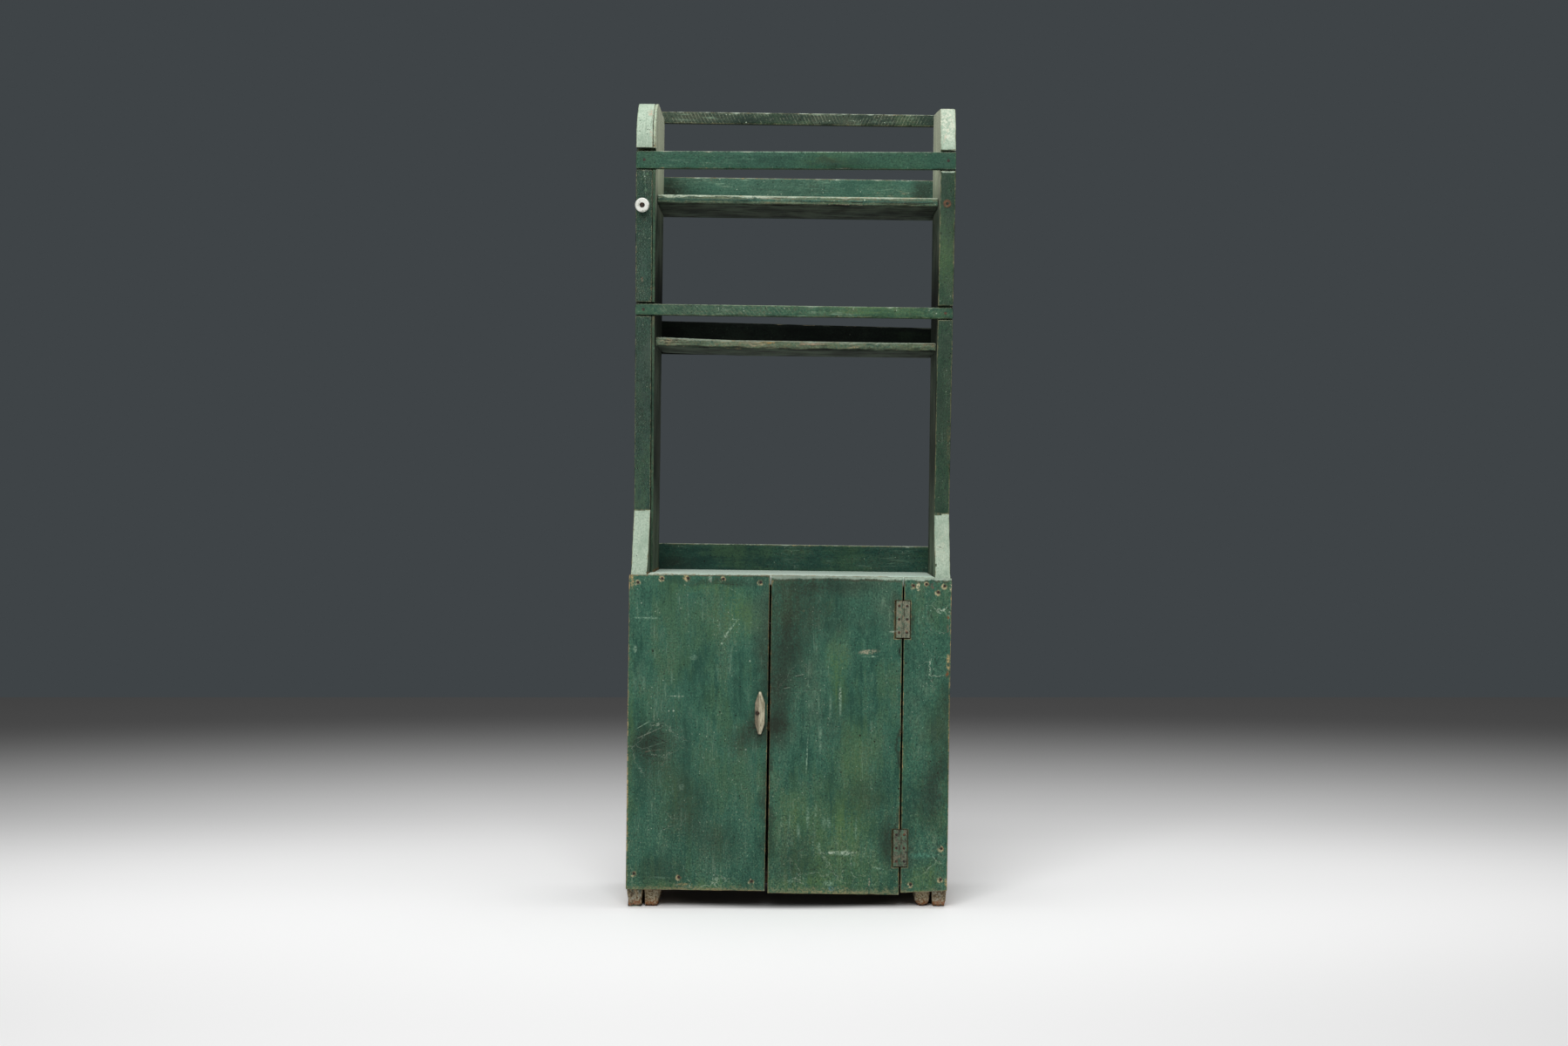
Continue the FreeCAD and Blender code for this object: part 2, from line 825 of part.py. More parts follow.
def bearer(label, left, right):
    """A floor bearer, its lower inner arris rounded and its foot sawn along the floor."""
    outline = rectangle("bearer_inset", f"{BACK} - bearer_inset", "-bearer_inset", FLOOR_LOW)
    body = board(label, "YZ_Plane", outline, left, right)
    saw_feet(body, f"{left} - 1", f"{right} + 1")
    inner = right if label.endswith("left") else left
    soften(body, "bearer_round", (inner, "0.5 * carcass_depth", f"({inner}) * tan(lean)"))
    bored(label, body)


on_both_sides("shelf_cleat", "cleat_wide", cleat)
on_both_sides("floor_bearer", "bearer_wide", bearer)

# ---------------------------------------------------------------- front and back boards


def front_boards():
    """The wide fixed board, the door and the hinge stile, sawn a little out of square."""
    fixed = [
        ("fixed_left + 1", "fixed_foot"),
        ("fixed_foot_right", "fixed_foot"),
        ("fixed_right", "front_top"),
        ("fixed_left", "front_top - 2"),
    ]
    body = board("fixed_front_board", "XZ_Plane", fixed, FRONT_OUT, "0")
    bored("fixed_front_board", body, nails_fixed, pivot_nail)

    door = rectangle("door_left", "door_right", "door_foot", "front_top")
    body = mortises(board("door_board", "XZ_Plane", door, FRONT_OUT, "-door_play"), "door")
    bored("door_board", body, *[screws["door"] for screws in hinge_screws.values()])

    stile = [
        ("stile_left", "stile_foot"),
        ("stile_foot_right", "stile_foot_outer"),
        ("stile_right", "front_top - 1"),
        ("stile_left", "front_top"),
    ]
    body = mortises(board("hinge_stile", "XZ_Plane", stile, FRONT_OUT, "0"), "stile")
    screws = [screws["stile"] for screws in hinge_screws.values()]
    bored("hinge_stile", body, nails_stile, *screws)


front_boards()


def cross_rail(label, left_low, left_high, right_low, right_high, near, far, *groups):
    """A rail from outer face to outer face; its two ends may lie at different heights."""
    outline = [(LEFT_OUT, left_low), (RIGHT_OUT, right_low), (RIGHT_OUT, right_high), (LEFT_OUT, left_high)]
    bored(label, board(label, "XZ_Plane", outline, near, far), *groups)


cross_rail(
    "front_rail_top",
    "rail_low_left",
    "rail_low_left + rail_tall",
    "rail_low_right",
    "rail_low_right + rail_tall",
    "rail_set",
    "rail_set + rail_deep",
    nails_rail,
)
cross_rail(
    "front_rail_middle",
    "middle_low",
    "middle_low + middle_tall",
    "middle_low",
    "middle_low + middle_tall",
    "middle_set",
    "middle_set + rail_deep",
    nails_rail,
)
BACK_RAILS = {
    "back_rail_top": ("top_rail_low", "top_rail_low + top_rail_tall", "top_rail_low + top_rail_tall"),
    "back_rail_second": ("second_rail_low", "second_rail_top", "second_rail_top"),
    "back_rail_third": ("third_rail_low", "third_rail_left", "third_rail_right"),
}
for label, (low, left_high, right_high) in BACK_RAILS.items():
    cross_rail(label, low, left_high, low, right_high, BACK, BACK_OUT, *nails_back.values())
for index in range(BOARD_COUNT):
    low = f"back_low + {index} * {BOARD_PITCH}"
    high = f"{low} + {BOARD_PITCH} - back_gap"
    label = f"back_board_{index + 1}"
    cross_rail(label, low, high, low, high, BACK, BACK_OUT, *nails_back.values())

# ---------------------------------------------------------------- checks and export

doc.recompute()
broken = [item.Label for item in doc.Objects if {"Invalid", "Error"} & set(item.State)]
broken += [item.Label for item in nodes if item.Shape.isNull() or not item.Shape.isValid()]
if broken:
    raise RuntimeError(f"failed objects: {broken}")
names = [item.Label for item in nodes]
if len(set(names)) != len(names):
    raise RuntimeError("two sub-parts share a name")

os.makedirs("parts", exist_ok=True)
for item in nodes:
    item.Shape.exportStep(os.path.join("parts", f"{item.Label}.step"))
whole = Part.makeCompound([item.Shape for item in nodes]).BoundBox
print(f"{len(nodes)} sub-parts, {whole.XLength:.1f} x {whole.YLength:.1f} x {whole.ZLength:.1f} mm")
print(f"x {whole.XMin:.1f}..{whole.XMax:.1f}  y {whole.YMin:.1f}..{whole.YMax:.1f}  z {whole.ZMin:.2f}")
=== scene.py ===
# %% [markdown]
# # A painted jelly cupboard
# A tall country cupboard knocked together from wide planks: two sides that run from the floor to
# the top, an open hutch with railed shelves above a counter, and one narrow door below it. It was
# painted green a long time ago and has been rubbed, knocked and chipped ever since. The exact
# model gives every board its size; this lesson makes each board look old.

# %% Load the exact model
import json
import math

import bmesh
import bpy
from mathutils import Matrix, Vector, noise


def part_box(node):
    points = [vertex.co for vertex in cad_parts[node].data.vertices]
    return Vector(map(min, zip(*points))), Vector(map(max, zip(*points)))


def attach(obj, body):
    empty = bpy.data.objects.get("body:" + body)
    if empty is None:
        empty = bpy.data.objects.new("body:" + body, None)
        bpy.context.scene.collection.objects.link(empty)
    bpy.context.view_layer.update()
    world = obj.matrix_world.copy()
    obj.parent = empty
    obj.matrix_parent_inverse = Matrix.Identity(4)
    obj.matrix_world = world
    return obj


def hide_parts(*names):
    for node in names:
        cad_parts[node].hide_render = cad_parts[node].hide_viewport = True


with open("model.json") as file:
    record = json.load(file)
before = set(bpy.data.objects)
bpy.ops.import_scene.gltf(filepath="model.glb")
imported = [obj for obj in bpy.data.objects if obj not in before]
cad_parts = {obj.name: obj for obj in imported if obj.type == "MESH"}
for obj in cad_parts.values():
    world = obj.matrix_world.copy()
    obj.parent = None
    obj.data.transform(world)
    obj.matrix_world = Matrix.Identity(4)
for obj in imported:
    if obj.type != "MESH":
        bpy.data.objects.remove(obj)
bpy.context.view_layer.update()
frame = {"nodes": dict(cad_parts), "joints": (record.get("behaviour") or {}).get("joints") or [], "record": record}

nodes = frame["nodes"]
slot_of = {part["node"]: part["material_slot"] for part in frame["record"]["subparts"]}

# %% [markdown]
# ## The lean
# The real cupboard stands a little out of plumb. It is far easier to shape square boards and lean
# them over afterwards, so the lean is read from the door's hinge line, and two matrices lead to
# the square workshop and back.

# %% The square workshop
MM = 0.001
AXES = {"x": 0, "y": 1, "z": 2}
HINGE_PLACE = Vector((0.2468, -0.021, 0.384))  # the hinge line in the square workshop, in metres
hinge = next(joint for joint in frame["joints"] if joint["name"] == "door_hinge")
lean = math.atan2(hinge["axis"][0], hinge["axis"][2])
turned = Matrix.Rotation(lean, 4, "Y")
stand_up = Matrix.Translation(Vector(hinge["pos_m"]) - turned @ HINGE_PLACE) @ turned
lay_square = stand_up.inverted()
print("lean", round(math.degrees(lean), 3), "degrees")


def at(across, back, up):
    """A place given in millimetres in the square workshop, where it really stands."""
    return stand_up @ (MM * Vector((across, back, up)))


# %% [markdown]
# ## Signs on sockets
# A finish is a web of nodes. Wrapping each socket in a small class lets masks be written as sums,
# so a line such as grime * (1 - wear) adds its own Math nodes, and one method adds any other node.

# %% Wires and webs
class Wire:
    """A socket that Python's signs can add, take away and multiply."""

    def __init__(self, web, socket):
        self.web, self.socket = web, socket

    def sum(self, operation, left, right):
        return self.web.node("ShaderNodeMath", {"operation": operation}, {0: left, 1: right})

    def __add__(self, other):
        return self.sum("ADD", self, other)

    def __sub__(self, other):
        return self.sum("SUBTRACT", self, other)

    def __rsub__(self, other):
        return self.sum("SUBTRACT", other, self)

    def __mul__(self, other):
        return self.sum("MULTIPLY", self, other)

    def most(self, other):
        return self.sum("MAXIMUM", self, other)

    def least(self, other):
        return self.sum("MINIMUM", self, other)

    def off(self, reach):
        """How far a cloud strays from its middle, as a part of the reach; it frays a mask's edge."""
        return (self - 0.5) * reach

    __radd__, __rmul__ = __add__, __mul__


class Web:
    """An empty web of nodes to work in."""

    def __init__(self, tree):
        self.tree = tree
        tree.nodes.clear()

    def node(self, kind, settings=None, inputs=None, output=0):
        made = self.tree.nodes.new(kind)
        for key, setting in (settings or {}).items():
            setattr(made, key, setting)
        for key, feed in (inputs or {}).items():
            self.feed(made.inputs[key], feed)
        return Wire(self, made.outputs[output])

    def feed(self, socket, feed):
        if isinstance(feed, Wire):
            self.tree.links.new(feed.socket, socket)
        else:
            socket.default_value = feed

    def seen(self):
        """1 where the camera looks, also by way of glass and shiny things; 0 for bounced light."""
        rays = self.tree.nodes.new("ShaderNodeLightPath").outputs
        camera, glossy, clear = (
            Wire(self, rays[f"Is {kind} Ray"]) for kind in ("Camera", "Glossy", "Transmission")
        )
        return camera.most(glossy).most(clear)


print("wires can be added, taken away and multiplied")

# %% [markdown]
# ## Patterns all over
# Every mask begins as a pattern: clouds, small dots or hairlines. They read the object's own
# coordinates, which are the real places, because every piece keeps its place in its mesh. On wood
# they are drawn out along the grain, and a smooth ramp then turns a pattern into a mask.

# %% Clouds, dots and hairlines
WANDER = 0.07  # how far the ragged outline of a stain strays, in metres


class Patterns(Web):
    """Patterns that cover all of a piece, and the places they are read at."""

    def __init__(self, tree, grain):
        super().__init__(tree)
        self.grain = grain
        self.place = self.node("ShaderNodeTexCoord", output="Object")
        drift = {"Vector": self.place, "Scale": 16.0, "Detail": 4.0, "Roughness": 0.62}
        drift = self.node("ShaderNodeTexNoise", {}, drift, "Color")
        drift = {0: drift, 1: (WANDER,) * 3, 2: self.place}
        self.stray = self.node("ShaderNodeVectorMath", {"operation": "MULTIPLY_ADD"}, drift)

    def step(self, wire, low, high):
        """0 below low, 1 above high, and a smooth ramp between them."""
        limits = {"Value": wire, "From Min": low, "From Max": high}
        return self.node("ShaderNodeMapRange", {"interpolation_type": "SMOOTHSTEP"}, limits)

    def mixed(self, first, second, share, low, high):
        """The same ramp over two clouds, the first of which counts for a share of the whole."""
        return self.step(first * share + second * (1 - share), low, high)

    def drawn(self, across, along):
        """Three sizes, drawn out along the grain."""
        return [along if axis == AXES[self.grain] else across for axis in range(3)]

    def stretched(self, sizes, turn=0.0, shift=(0, 0, 0)):
        """Places scaled so that a pattern's features have these three sizes, in metres."""
        inputs = {"Vector": self.place, "Scale": [1 / size for size in sizes], "Location": shift}
        if turn:
            flat = {"Vector": self.place, "Rotation": (0, turn, 0)}
            inputs["Vector"] = self.node("ShaderNodeMapping", {}, flat)
        return self.node("ShaderNodeMapping", {}, inputs)

    def cloud(self, sizes, detail, rough, seed):
        shift = (seed, 0.37 * seed, -0.71 * seed)
        inputs = {"Vector": self.stretched(sizes, shift=shift), "Scale": 1.0}
        return self.node("ShaderNodeTexNoise", {}, {**inputs, "Detail": detail, "Roughness": rough})

    def fibres(self, across, along, detail, rough, seed):
        """A cloud drawn out along the grain."""
        return self.cloud(self.drawn(across, along), detail, rough, seed)

    def dots(self, sizes, radius, share, seed, ragged=0.5):
        """Small spots: each cell of the given size holds one, and a share of the cells is used."""
        inputs = {"Vector": self.stretched(sizes, shift=(seed, -seed, seed)), "Scale": 1.0}
        cells = self.node("ShaderNodeTexVoronoi", {}, inputs)
        lot = self.node("ShaderNodeTexVoronoi", {}, inputs, "Color")
        lot = self.node("ShaderNodeSeparateColor", {}, {0: lot})
        chosen = self.step(lot, 1 - share, 1 - share + 0.01)
        far = cells + (ragged - 0.5) * (1.6 * radius)
        return (1 - self.step(far, 0.6 * radius, radius)) * chosen

    def hairlines(self, size, seed):
        """Thin curved lines, a few centimetres apart, such as scratches and cracks."""
        bent = {"Vector": self.stray, "Scale": (1 / size,) * 3, "Location": (seed, -seed, seed)}
        cells = {"Vector": self.node("ShaderNodeMapping", {}, bent), "Scale": 1.0}
        net = self.node("ShaderNodeTexVoronoi", {"feature": "DISTANCE_TO_EDGE"}, cells)
        return 1 - self.step(net, 0.0004 / size, 0.0009 / size)


print("a stain's outline strays by", WANDER, "m")

# %% [markdown]
# ## Masks with a place
# Other masks say where something is: inside a soft ellipsoid or a ragged stain, near a nail, at a
# height above the floor, or what was written on the points of the mesh. A distance or a coordinate
# is enough for each of them, so no image has to be painted.


# %% Blobs, stains and distances
class Places(Patterns):
    """Masks that have a place of their own."""

    def blob(self, centre, size, turn=0.0, soft=0.8):
        """1 inside a turned ellipsoid and 0 outside it; soft is how much of it fades."""
        lie = {"Vector": self.place, "Location": centre, "Rotation": (0, turn, 0), "Scale": size}
        return self.inside(lie, soft)

    def stain(self, centre, size):
        """A large soft blob with a ragged outline."""
        centre = Vector(centre) + Vector((0.5 * WANDER,) * 3)
        return self.inside({"Vector": self.stray, "Location": centre, "Scale": size}, 1.0)

    def inside(self, lie, soft):
        within = self.node("ShaderNodeMapping", {"vector_type": "TEXTURE"}, lie)
        far = self.node("ShaderNodeVectorMath", {"operation": "LENGTH"}, {0: within}, "Value")
        return 1 - self.step(far, 1 - soft, 1.0)

    def distance(self, place, point):
        return self.node("ShaderNodeVectorMath", {"operation": "DISTANCE"}, {0: place, 1: point}, "Value")

    def near(self, points, full, none):
        """1 within a distance of any of the points, 0 beyond another distance."""
        nearest = self.distance(self.place, points[0])
        for point in points[1:]:
            nearest = nearest.least(self.distance(self.place, point))
        return 1 - self.step(nearest, full, none)

    def along(self, axis):
        """One of the three coordinates, in metres."""
        return self.node("ShaderNodeSeparateXYZ", {}, {0: self.place}, axis)

    def attribute(self, name):
        """A value that was written on the points of the mesh."""
        return self.node("ShaderNodeAttribute", {"attribute_name": name}, output="Fac")

    def height(self):
        """How far up the leaning boards a point is, in metres."""
        up = stand_up.to_3x3() @ Vector((0, 0, 1))
        level = {0: self.place, 1: up}
        level = self.node("ShaderNodeVectorMath", {"operation": "DOT_PRODUCT"}, level, "Value")
        return level - stand_up.translation.dot(up)


print("stains, nail rings and heights can be masked")

# %% [markdown]
# ## The finish itself
# Every material here is one principled shader. A finish lays one colour over another, each as
# strongly as its mask says, in the order in which paint, dirt and wear came in real life. At the
# end the colour, the roughness and a height map are handed to the shader.


# %% The finish
class Finish(Places):
    """One material: a principled shader and the colour laid on it so far."""

    def __init__(self, name, roughness=0.7, gloss=0.5, grain="z"):
        self.material = bpy.data.materials.new(name)
        self.material.use_nodes = True
        super().__init__(self.material.node_tree, grain)
        self.coat = None
        self.shader = self.tree.nodes.new("ShaderNodeBsdfPrincipled")
        self.shader.inputs["Roughness"].default_value = roughness
        self.shader.inputs["Specular IOR Level"].default_value = gloss
        self.output = self.tree.nodes.new("ShaderNodeOutputMaterial")
        self.tree.links.new(self.shader.outputs[0], self.output.inputs[0])

    def tint(self, base, colour, mask):
        """A colour laid over another one, as strongly as the mask says."""
        return self.node("ShaderNodeMix", {"data_type": "RGBA"}, {0: mask, 6: base, 7: colour}, 2)

    def lay(self, colour, mask):
        """Lays a colour over all that is there already."""
        self.coat = self.tint(self.coat, colour, mask)

    def done(self, rough, height, depth, strength):
        """Feeds colour, roughness and a height map, read in metres of depth; gives the material."""
        bump = {"Height": height, "Distance": depth, "Strength": strength}
        normal = self.node("ShaderNodeBump", {}, bump)
        for name, wire in (("Base Color", self.coat), ("Roughness", rough), ("Normal", normal)):
            self.feed(self.shader.inputs[name], wire)
        return self.material


print("a finish hands over colour, roughness and height")

# %% [markdown]
# ## Colours
# Colours are matched on a screen, so they are written the way a screen shows them and
# turned into light once, here. The names are those of what they stand for on old paint.


# %% The colours
def tone(red, green, blue):
    """A colour given as it looks on a screen, 0 to 255, as the light it stands for."""
    def light(part):
        part /= 255
        return part / 12.92 if part <= 0.04045 else ((part + 0.055) / 1.055) ** 2.4
    return (light(red), light(green), light(blue), 1.0)


GREENS = (27, 65, 53), (51, 98, 80), (92, 137, 109)
YELLOW, GRIME_AND_SHADE, BARE = tone(88, 120, 66), tone(36, 44, 34), tone(182, 158, 110)
OLIVE, DRAB, WORN = tone(68, 96, 62), tone(70, 84, 68), tone(172, 164, 138)
MINT, CHALK, WEATHER = tone(132, 164, 140), tone(176, 192, 170), tone(104, 96, 74)
RUST, BLACK = tone(122, 74, 40), tone(18, 17, 14)
print("sea green is", [round(part, 3) for part in tone(*GREENS[1])], "as light")

# %% [markdown]
# ## Old green paint, first layers
# Oil paint on pine goes streaky along the grain, takes an olive or a drab cast, yellows where it
# was rubbed and gathers a thin grey film. Seven clouds of different sizes are enough for all of
# it: every mask is cut from one or two of them, so the layers keep to the same streaks.


# %% Clouds, film and cast
def clouds(f, seed):
    """The seven clouds that all layers of the paint are cut from."""
    f.seed = seed
    f.fine = f.fibres(0.0026, 0.026, 4, 0.7, seed)
    f.streak = f.fibres(0.014, 0.2, 5, 0.68, seed + 3)
    f.patch = f.fibres(0.06, 0.15, 8, 0.72, seed + 7)
    f.grit = f.cloud((0.0045,) * 3, 4, 0.75, seed + 11)
    f.ragged = f.cloud((0.009, 0.009, 0.014), 4, 0.68, seed + 13)
    f.drift = f.cloud((0.18, 0.18, 0.28), 5, 0.64, seed + 15)
    f.spark = f.fibres(0.0034, 0.0044, 2, 0.9, seed + 25)


def film(f, tones, mood):
    """The paint itself: three greens in streaks, with an olive and a drab cast."""
    deep, middle, light = tones
    f.coat = f.tint(deep, middle, 0.25 + 0.75 * f.mixed(f.streak, f.patch, 0.25, 0.38, 0.52))
    f.lay(OLIVE, f.mixed(f.drift, f.streak, 0.7, 0.5, 0.62) * 0.5 * mood)
    f.lay(DRAB, (1 - f.mixed(f.drift, f.grit, 0.7, 0.38, 0.5)) * 0.55 * mood)
    f.lay(deep, (1 - f.mixed(f.fine, f.patch, 0.8, 0.36, 0.48)) * 0.3)
    f.lay(light, f.mixed(f.fine, f.streak, 0.75, 0.53, 0.68) * 0.24)
    f.lay(deep, (1 - f.step(f.spark, 0.36, 0.48)) * 0.8)
    f.lay(light, f.mixed(f.spark, f.patch, 0.75, 0.53, 0.66) * 0.6)


def sunned(f, yellows, dust, mood):
    """What sun and years add: yellowed areas, pale streaks and a thin grey film."""
    uneven = f.mixed(f.streak, f.grit, 0.5, 0.36, 0.68)
    for centre, size, strength in yellows:
        f.lay(YELLOW, f.stain(centre, size) * uneven * strength * 0.8)
    pale = f.step(f.fibres(0.0045, 0.05, 4, 0.72, f.seed + 17), 0.55, 0.66)
    f.lay(MINT, pale * f.step(f.patch, 0.48, 0.6) * dust * 0.8)
    f.lay(WEATHER, f.mixed(f.grit, f.patch, 0.5, 0.47, 0.62) * 0.4 * dust * mood)


print("the paint starts with seven clouds")

# %% [markdown]
# ## Marks of the saw, specks and scratches
# On rough sawn boards the teeth left slanting lines, which a wave texture gives. Specks are chips
# and fly spots, two sizes of each. Scratches keep to a few areas: everywhere at once they would
# look like worms.

# %% Saw lines, specks, scratches and kicks
SAW_STEP = 0.314 / 0.0072  # the wave texture's scale for saw lines 7.2 mm apart


def saw_lines(f, saw, sawn):
    """Slanting lines, each set of them inside its own ellipsoid."""
    ridges = None
    for turn, place, size in saw:
        wave = {"Vector": f.stretched((1, 1, 1), turn), "Scale": SAW_STEP, "Distortion": 1.6}
        wave = f.node("ShaderNodeTexWave", {"bands_direction": "X"}, {**wave, "Detail": 2.0})
        lines = f.step(wave + f.grit.off(0.3), 0.84, 1.0) * f.blob(place, size, soft=0.3)
        ridges = lines if ridges is None else ridges.most(lines)
    ridges = ridges * f.step(f.ragged * 0.3 + f.patch * 0.4 + f.grit * 0.3, 0.45, 0.56)
    f.lay(tone(158, 166, 142), ridges * sawn)


def specks(f, dust):
    """Chips and fly spots, pale and dark; gives the dark ones, which are pits."""
    pale = f.dots((0.008,) * 3, 0.17, 0.3, f.seed, f.ragged) * f.step(f.patch, 0.42, 0.56)
    pale = pale.most(f.dots((0.045,) * 3, 0.05, 0.5, f.seed + 5, f.ragged))
    dark = f.dots((0.011,) * 3, 0.14, 0.42, f.seed + 9, f.ragged)
    dark = dark.most(f.dots((0.05,) * 3, 0.05, 0.5, f.seed + 2, f.ragged))
    f.lay(CHALK, pale * min(0.9, 0.03 + dust))
    f.lay(BLACK, dark * 0.85)
    return dark


def scraped(f, hairs):
    """Fine curved scratches and cracks, in a few areas."""
    broken = f.mixed(f.ragged, f.grit, 0.5, 0.42, 0.54)
    for centre, size, strength in hairs:
        mask = f.stain(centre, size) * broken * strength
        f.lay(CHALK, (f.hairlines(0.06, f.seed) * mask).least(0.8))
        f.lay(BLACK, (f.hairlines(0.045, f.seed + 4) * mask).least(0.8))


def kicked_low(f, kicked):
    """Grit thrown up from the floor, and a band that brooms and boots wore along the bottom."""
    up = f.height() + f.drift.off(0.3)
    low = (1 - f.step(up, 0.04, 0.42)) * kicked
    low = low * (0.3 + 0.7 * f.mixed(f.patch, f.ragged, 0.5, 0.44, 0.56))
    speck = f.grit * 0.5 + f.spark * 0.5
    f.lay(tone(134, 150, 118), f.step(speck, 0.53, 0.63) * low)
    f.lay(GRIME_AND_SHADE, (1 - f.step(speck, 0.4, 0.47)) * low)
    worn = 1 - f.step(f.height() + f.ragged.off(0.05) + f.patch.off(0.03), 0.036, 0.05)
    f.lay(tone(136, 134, 100), worn * f.step(f.grit, 0.38, 0.56) * 0.6)


print("saw lines are 7.2 mm apart")

# %% [markdown]
# ## Worn through
# Paint wears away first where a hand can reach an edge. Two values written on the mesh say where
# that is: one how near an edge a point lies, one how far its face looks up at the sky. Faces that
# look up take dust and a paler colour that is partly painted light from above, faces that look
# down take painted shade, and edges go through to the pale wood.


# %% Edges, bare patches and scuffs
def worn_edges(f, wear, dust_and_top_light, edge_tone):
    """Dust and painted top light above, painted shade below, rubbed edges; gives where paint is gone."""
    arris, sky = f.attribute("arris"), f.attribute("sky")
    line = f.step(arris + f.ragged.off(1.1), 0.74, 0.94) * f.mixed(f.patch, f.grit, 0.5, 0.4, 0.5)
    f.lay(tone(150, 142, 98), line * min(1.0, 1.7 * wear))
    # dust on faces that look up, and a paler colour there that is painted light from above
    dust_and_top_light_mask = f.step(sky + f.ragged.off(0.7), 0.45, 0.85) * f.mixed(f.grit, f.patch, 0.5, 0.38, 0.5)
    f.lay(tone(178, 192, 172), dust_and_top_light_mask * dust_and_top_light)
    # faces that look down are darkened: painted shade
    f.lay(GRIME_AND_SHADE, (1 - f.step(sky + f.ragged.off(0.5), -0.8, -0.3)) * 0.7)
    rubbed = arris + f.ragged.off(1.8) + f.patch.off(1.6)
    edge = 1.5 - 0.8 * wear
    through = f.step(rubbed, edge - 0.08, edge + 0.06)
    f.lay(WEATHER, f.step(rubbed, edge - 0.35, edge - 0.1) * 0.5)
    f.lay(edge_tone, through * 0.85)
    return through


def bare_patches(f, bare):
    """Dry, split wood where whole patches of paint are gone; gives their mask."""
    fibre = f.fibres(0.004, 0.016, 5, 0.8, f.seed + 19)
    gone = f.mixed(f.patch, fibre, 0.5, 0.66 - 0.24 * bare, 0.7 - 0.2 * bare)
    wood = f.tint(tone(66, 62, 44), tone(156, 150, 124), f.step(fibre, 0.42, 0.6))
    wood = f.tint(wood, tone(168, 128, 62), f.mixed(f.drift, fibre, 0.5, 0.54, 0.62) * 0.3)
    f.lay(wood, gone * 0.85)
    splits = f.step(f.fibres(0.0024, 0.11, 3, 0.6, f.seed + 23), 0.58, 0.64)
    f.lay(BLACK, splits * f.step(f.patch, 0.42, 0.52) * min(1.0, 2.0 * bare) * 0.85)
    return gone


def scuffed(f, scuffs):
    """Single strokes and spots, each with its own place, size, turn and colour."""
    broken = f.mixed(f.grit, f.ragged, 0.7, 0.42, 0.62)
    for centre, size, turn, strength, stroke in scuffs:
        f.lay(stroke, (f.blob(centre, size, turn, 0.7) * broken * strength).least(0.95))


print("edges, patches and scuffs are ready")

# %% [markdown]
# ## Crackle, nails, lip, grime and painted shade
# Thick glossy paint shrinks into a net of cracks. Round a nail it flakes off in a ring and the
# nail stains it with rust. The counter's pale paint was carried a little way over the front
# boards, and hands left grime wherever they went, which came last; that last step also lays
# painted shade in the hinge gap and on the lower curve of the shelf noses.


# %% Crackle, nails, lip, grime and painted shade
def crackled(f, deep, crackle, height):
    """A net of cracks with shiny islands painted lighter as highlights; gives the height with both in it."""
    cells = {"Vector": f.stretched((0.0042, 0.0042, 0.0056)), "Scale": 1.0}
    net = f.node("ShaderNodeTexVoronoi", {"feature": "DISTANCE_TO_EDGE"}, cells)
    cracks = (1 - f.step(net + f.ragged.off(0.5), 0.03, 0.2)) * f.step(f.patch, 0.4, 0.54) * crackle
    f.lay(deep, cracks * 0.5)
    # the islands between the cracks are painted lighter: painted highlights
    islands_and_glints = f.step(net + f.grit.off(0.5), 0.42, 0.55) * f.step(f.ragged, 0.48, 0.58) * crackle
    f.lay(tone(118, 150, 126), islands_and_glints * 0.5)
    return height - cracks * 1.6 + islands_and_glints * 0.5


def around_nails(f, nails):
    """A flaked ring round every nail head, a little low and to the left, and rust inside it."""
    slipped = [nail + Vector((-0.0012, 0, -0.0012)) for nail in nails]
    flaked = f.step(f.ragged * 0.6 + f.grit * 0.2 + f.drift * 0.2, 0.48, 0.54)
    f.lay(tone(198, 184, 144), f.near(slipped, 0.004, 0.0085) * flaked * 0.85)
    f.lay(RUST, f.near(nails, 0.0042, 0.006) * f.step(f.grit, 0.46, 0.6) * 0.6)


def painted_lip(f, start, slope):
    """The counter's pale paint on the top edge of a front board, with a dark seam below it."""
    level = f.height() + f.grit.off(0.006) + f.patch.off(0.022) + f.along("X") * slope
    spread = f.step(level, start - 0.002, start + 0.002)
    seam = f.step(level, start - 0.007, start - 0.003) * f.mixed(f.ragged, f.streak, 0.6, 0.44, 0.54)
    f.lay(tone(74, 70, 54), seam * 0.65)
    f.lay(tone(168, 186, 168), spread * (0.75 + 0.25 * f.step(f.grit, 0.4, 0.6)))


def grimed_and_shaded(f, grime_and_shade):
    """Grime, and painted shade in gaps and under curves, worked into the streaks."""
    worked = 0.45 + 0.55 * f.mixed(f.streak, f.grit, 0.4, 0.36, 0.6)
    for centre, size, strength in grime_and_shade:
        f.lay(GRIME_AND_SHADE, (f.stain(centre, size) * worked * strength * 1.3).least(0.95))


def rotten_wood(f, upright, patch, grit, ragged):
    """Foot wood: grey brown, with remains of white paint, rusty orange at the floor, black rot in patches and
    black right along the floor.
    """
    decay = f.tint(tone(98, 80, 56), tone(178, 158, 122), f.mixed(patch, grit, 0.3, 0.42, 0.56))
    decay = f.tint(decay, tone(176, 178, 162), f.mixed(ragged, grit, 0.5, 0.49, 0.57) * 0.75)
    low = 1 - f.step(upright + grit.off(0.03), 0.006, 0.018)
    decay = f.tint(decay, tone(150, 84, 36), low * f.step(ragged, 0.44, 0.54) * 0.8)
    decay = f.tint(decay, BLACK, (1 - f.mixed(ragged, patch, 0.6, 0.38, 0.45)) * 0.7)
    # black within the last few millimetres above the floor
    return f.tint(decay, BLACK, 1 - f.step(upright + ragged.off(0.02), 0.001, 0.006))


print("the layers above the paint are ready")

# %% [markdown]
# ## The paint recipe
# One recipe makes every painted board, with other places and strengths for each, so the boards
# differ as real ones do. The layers are called in the order in which they happened.


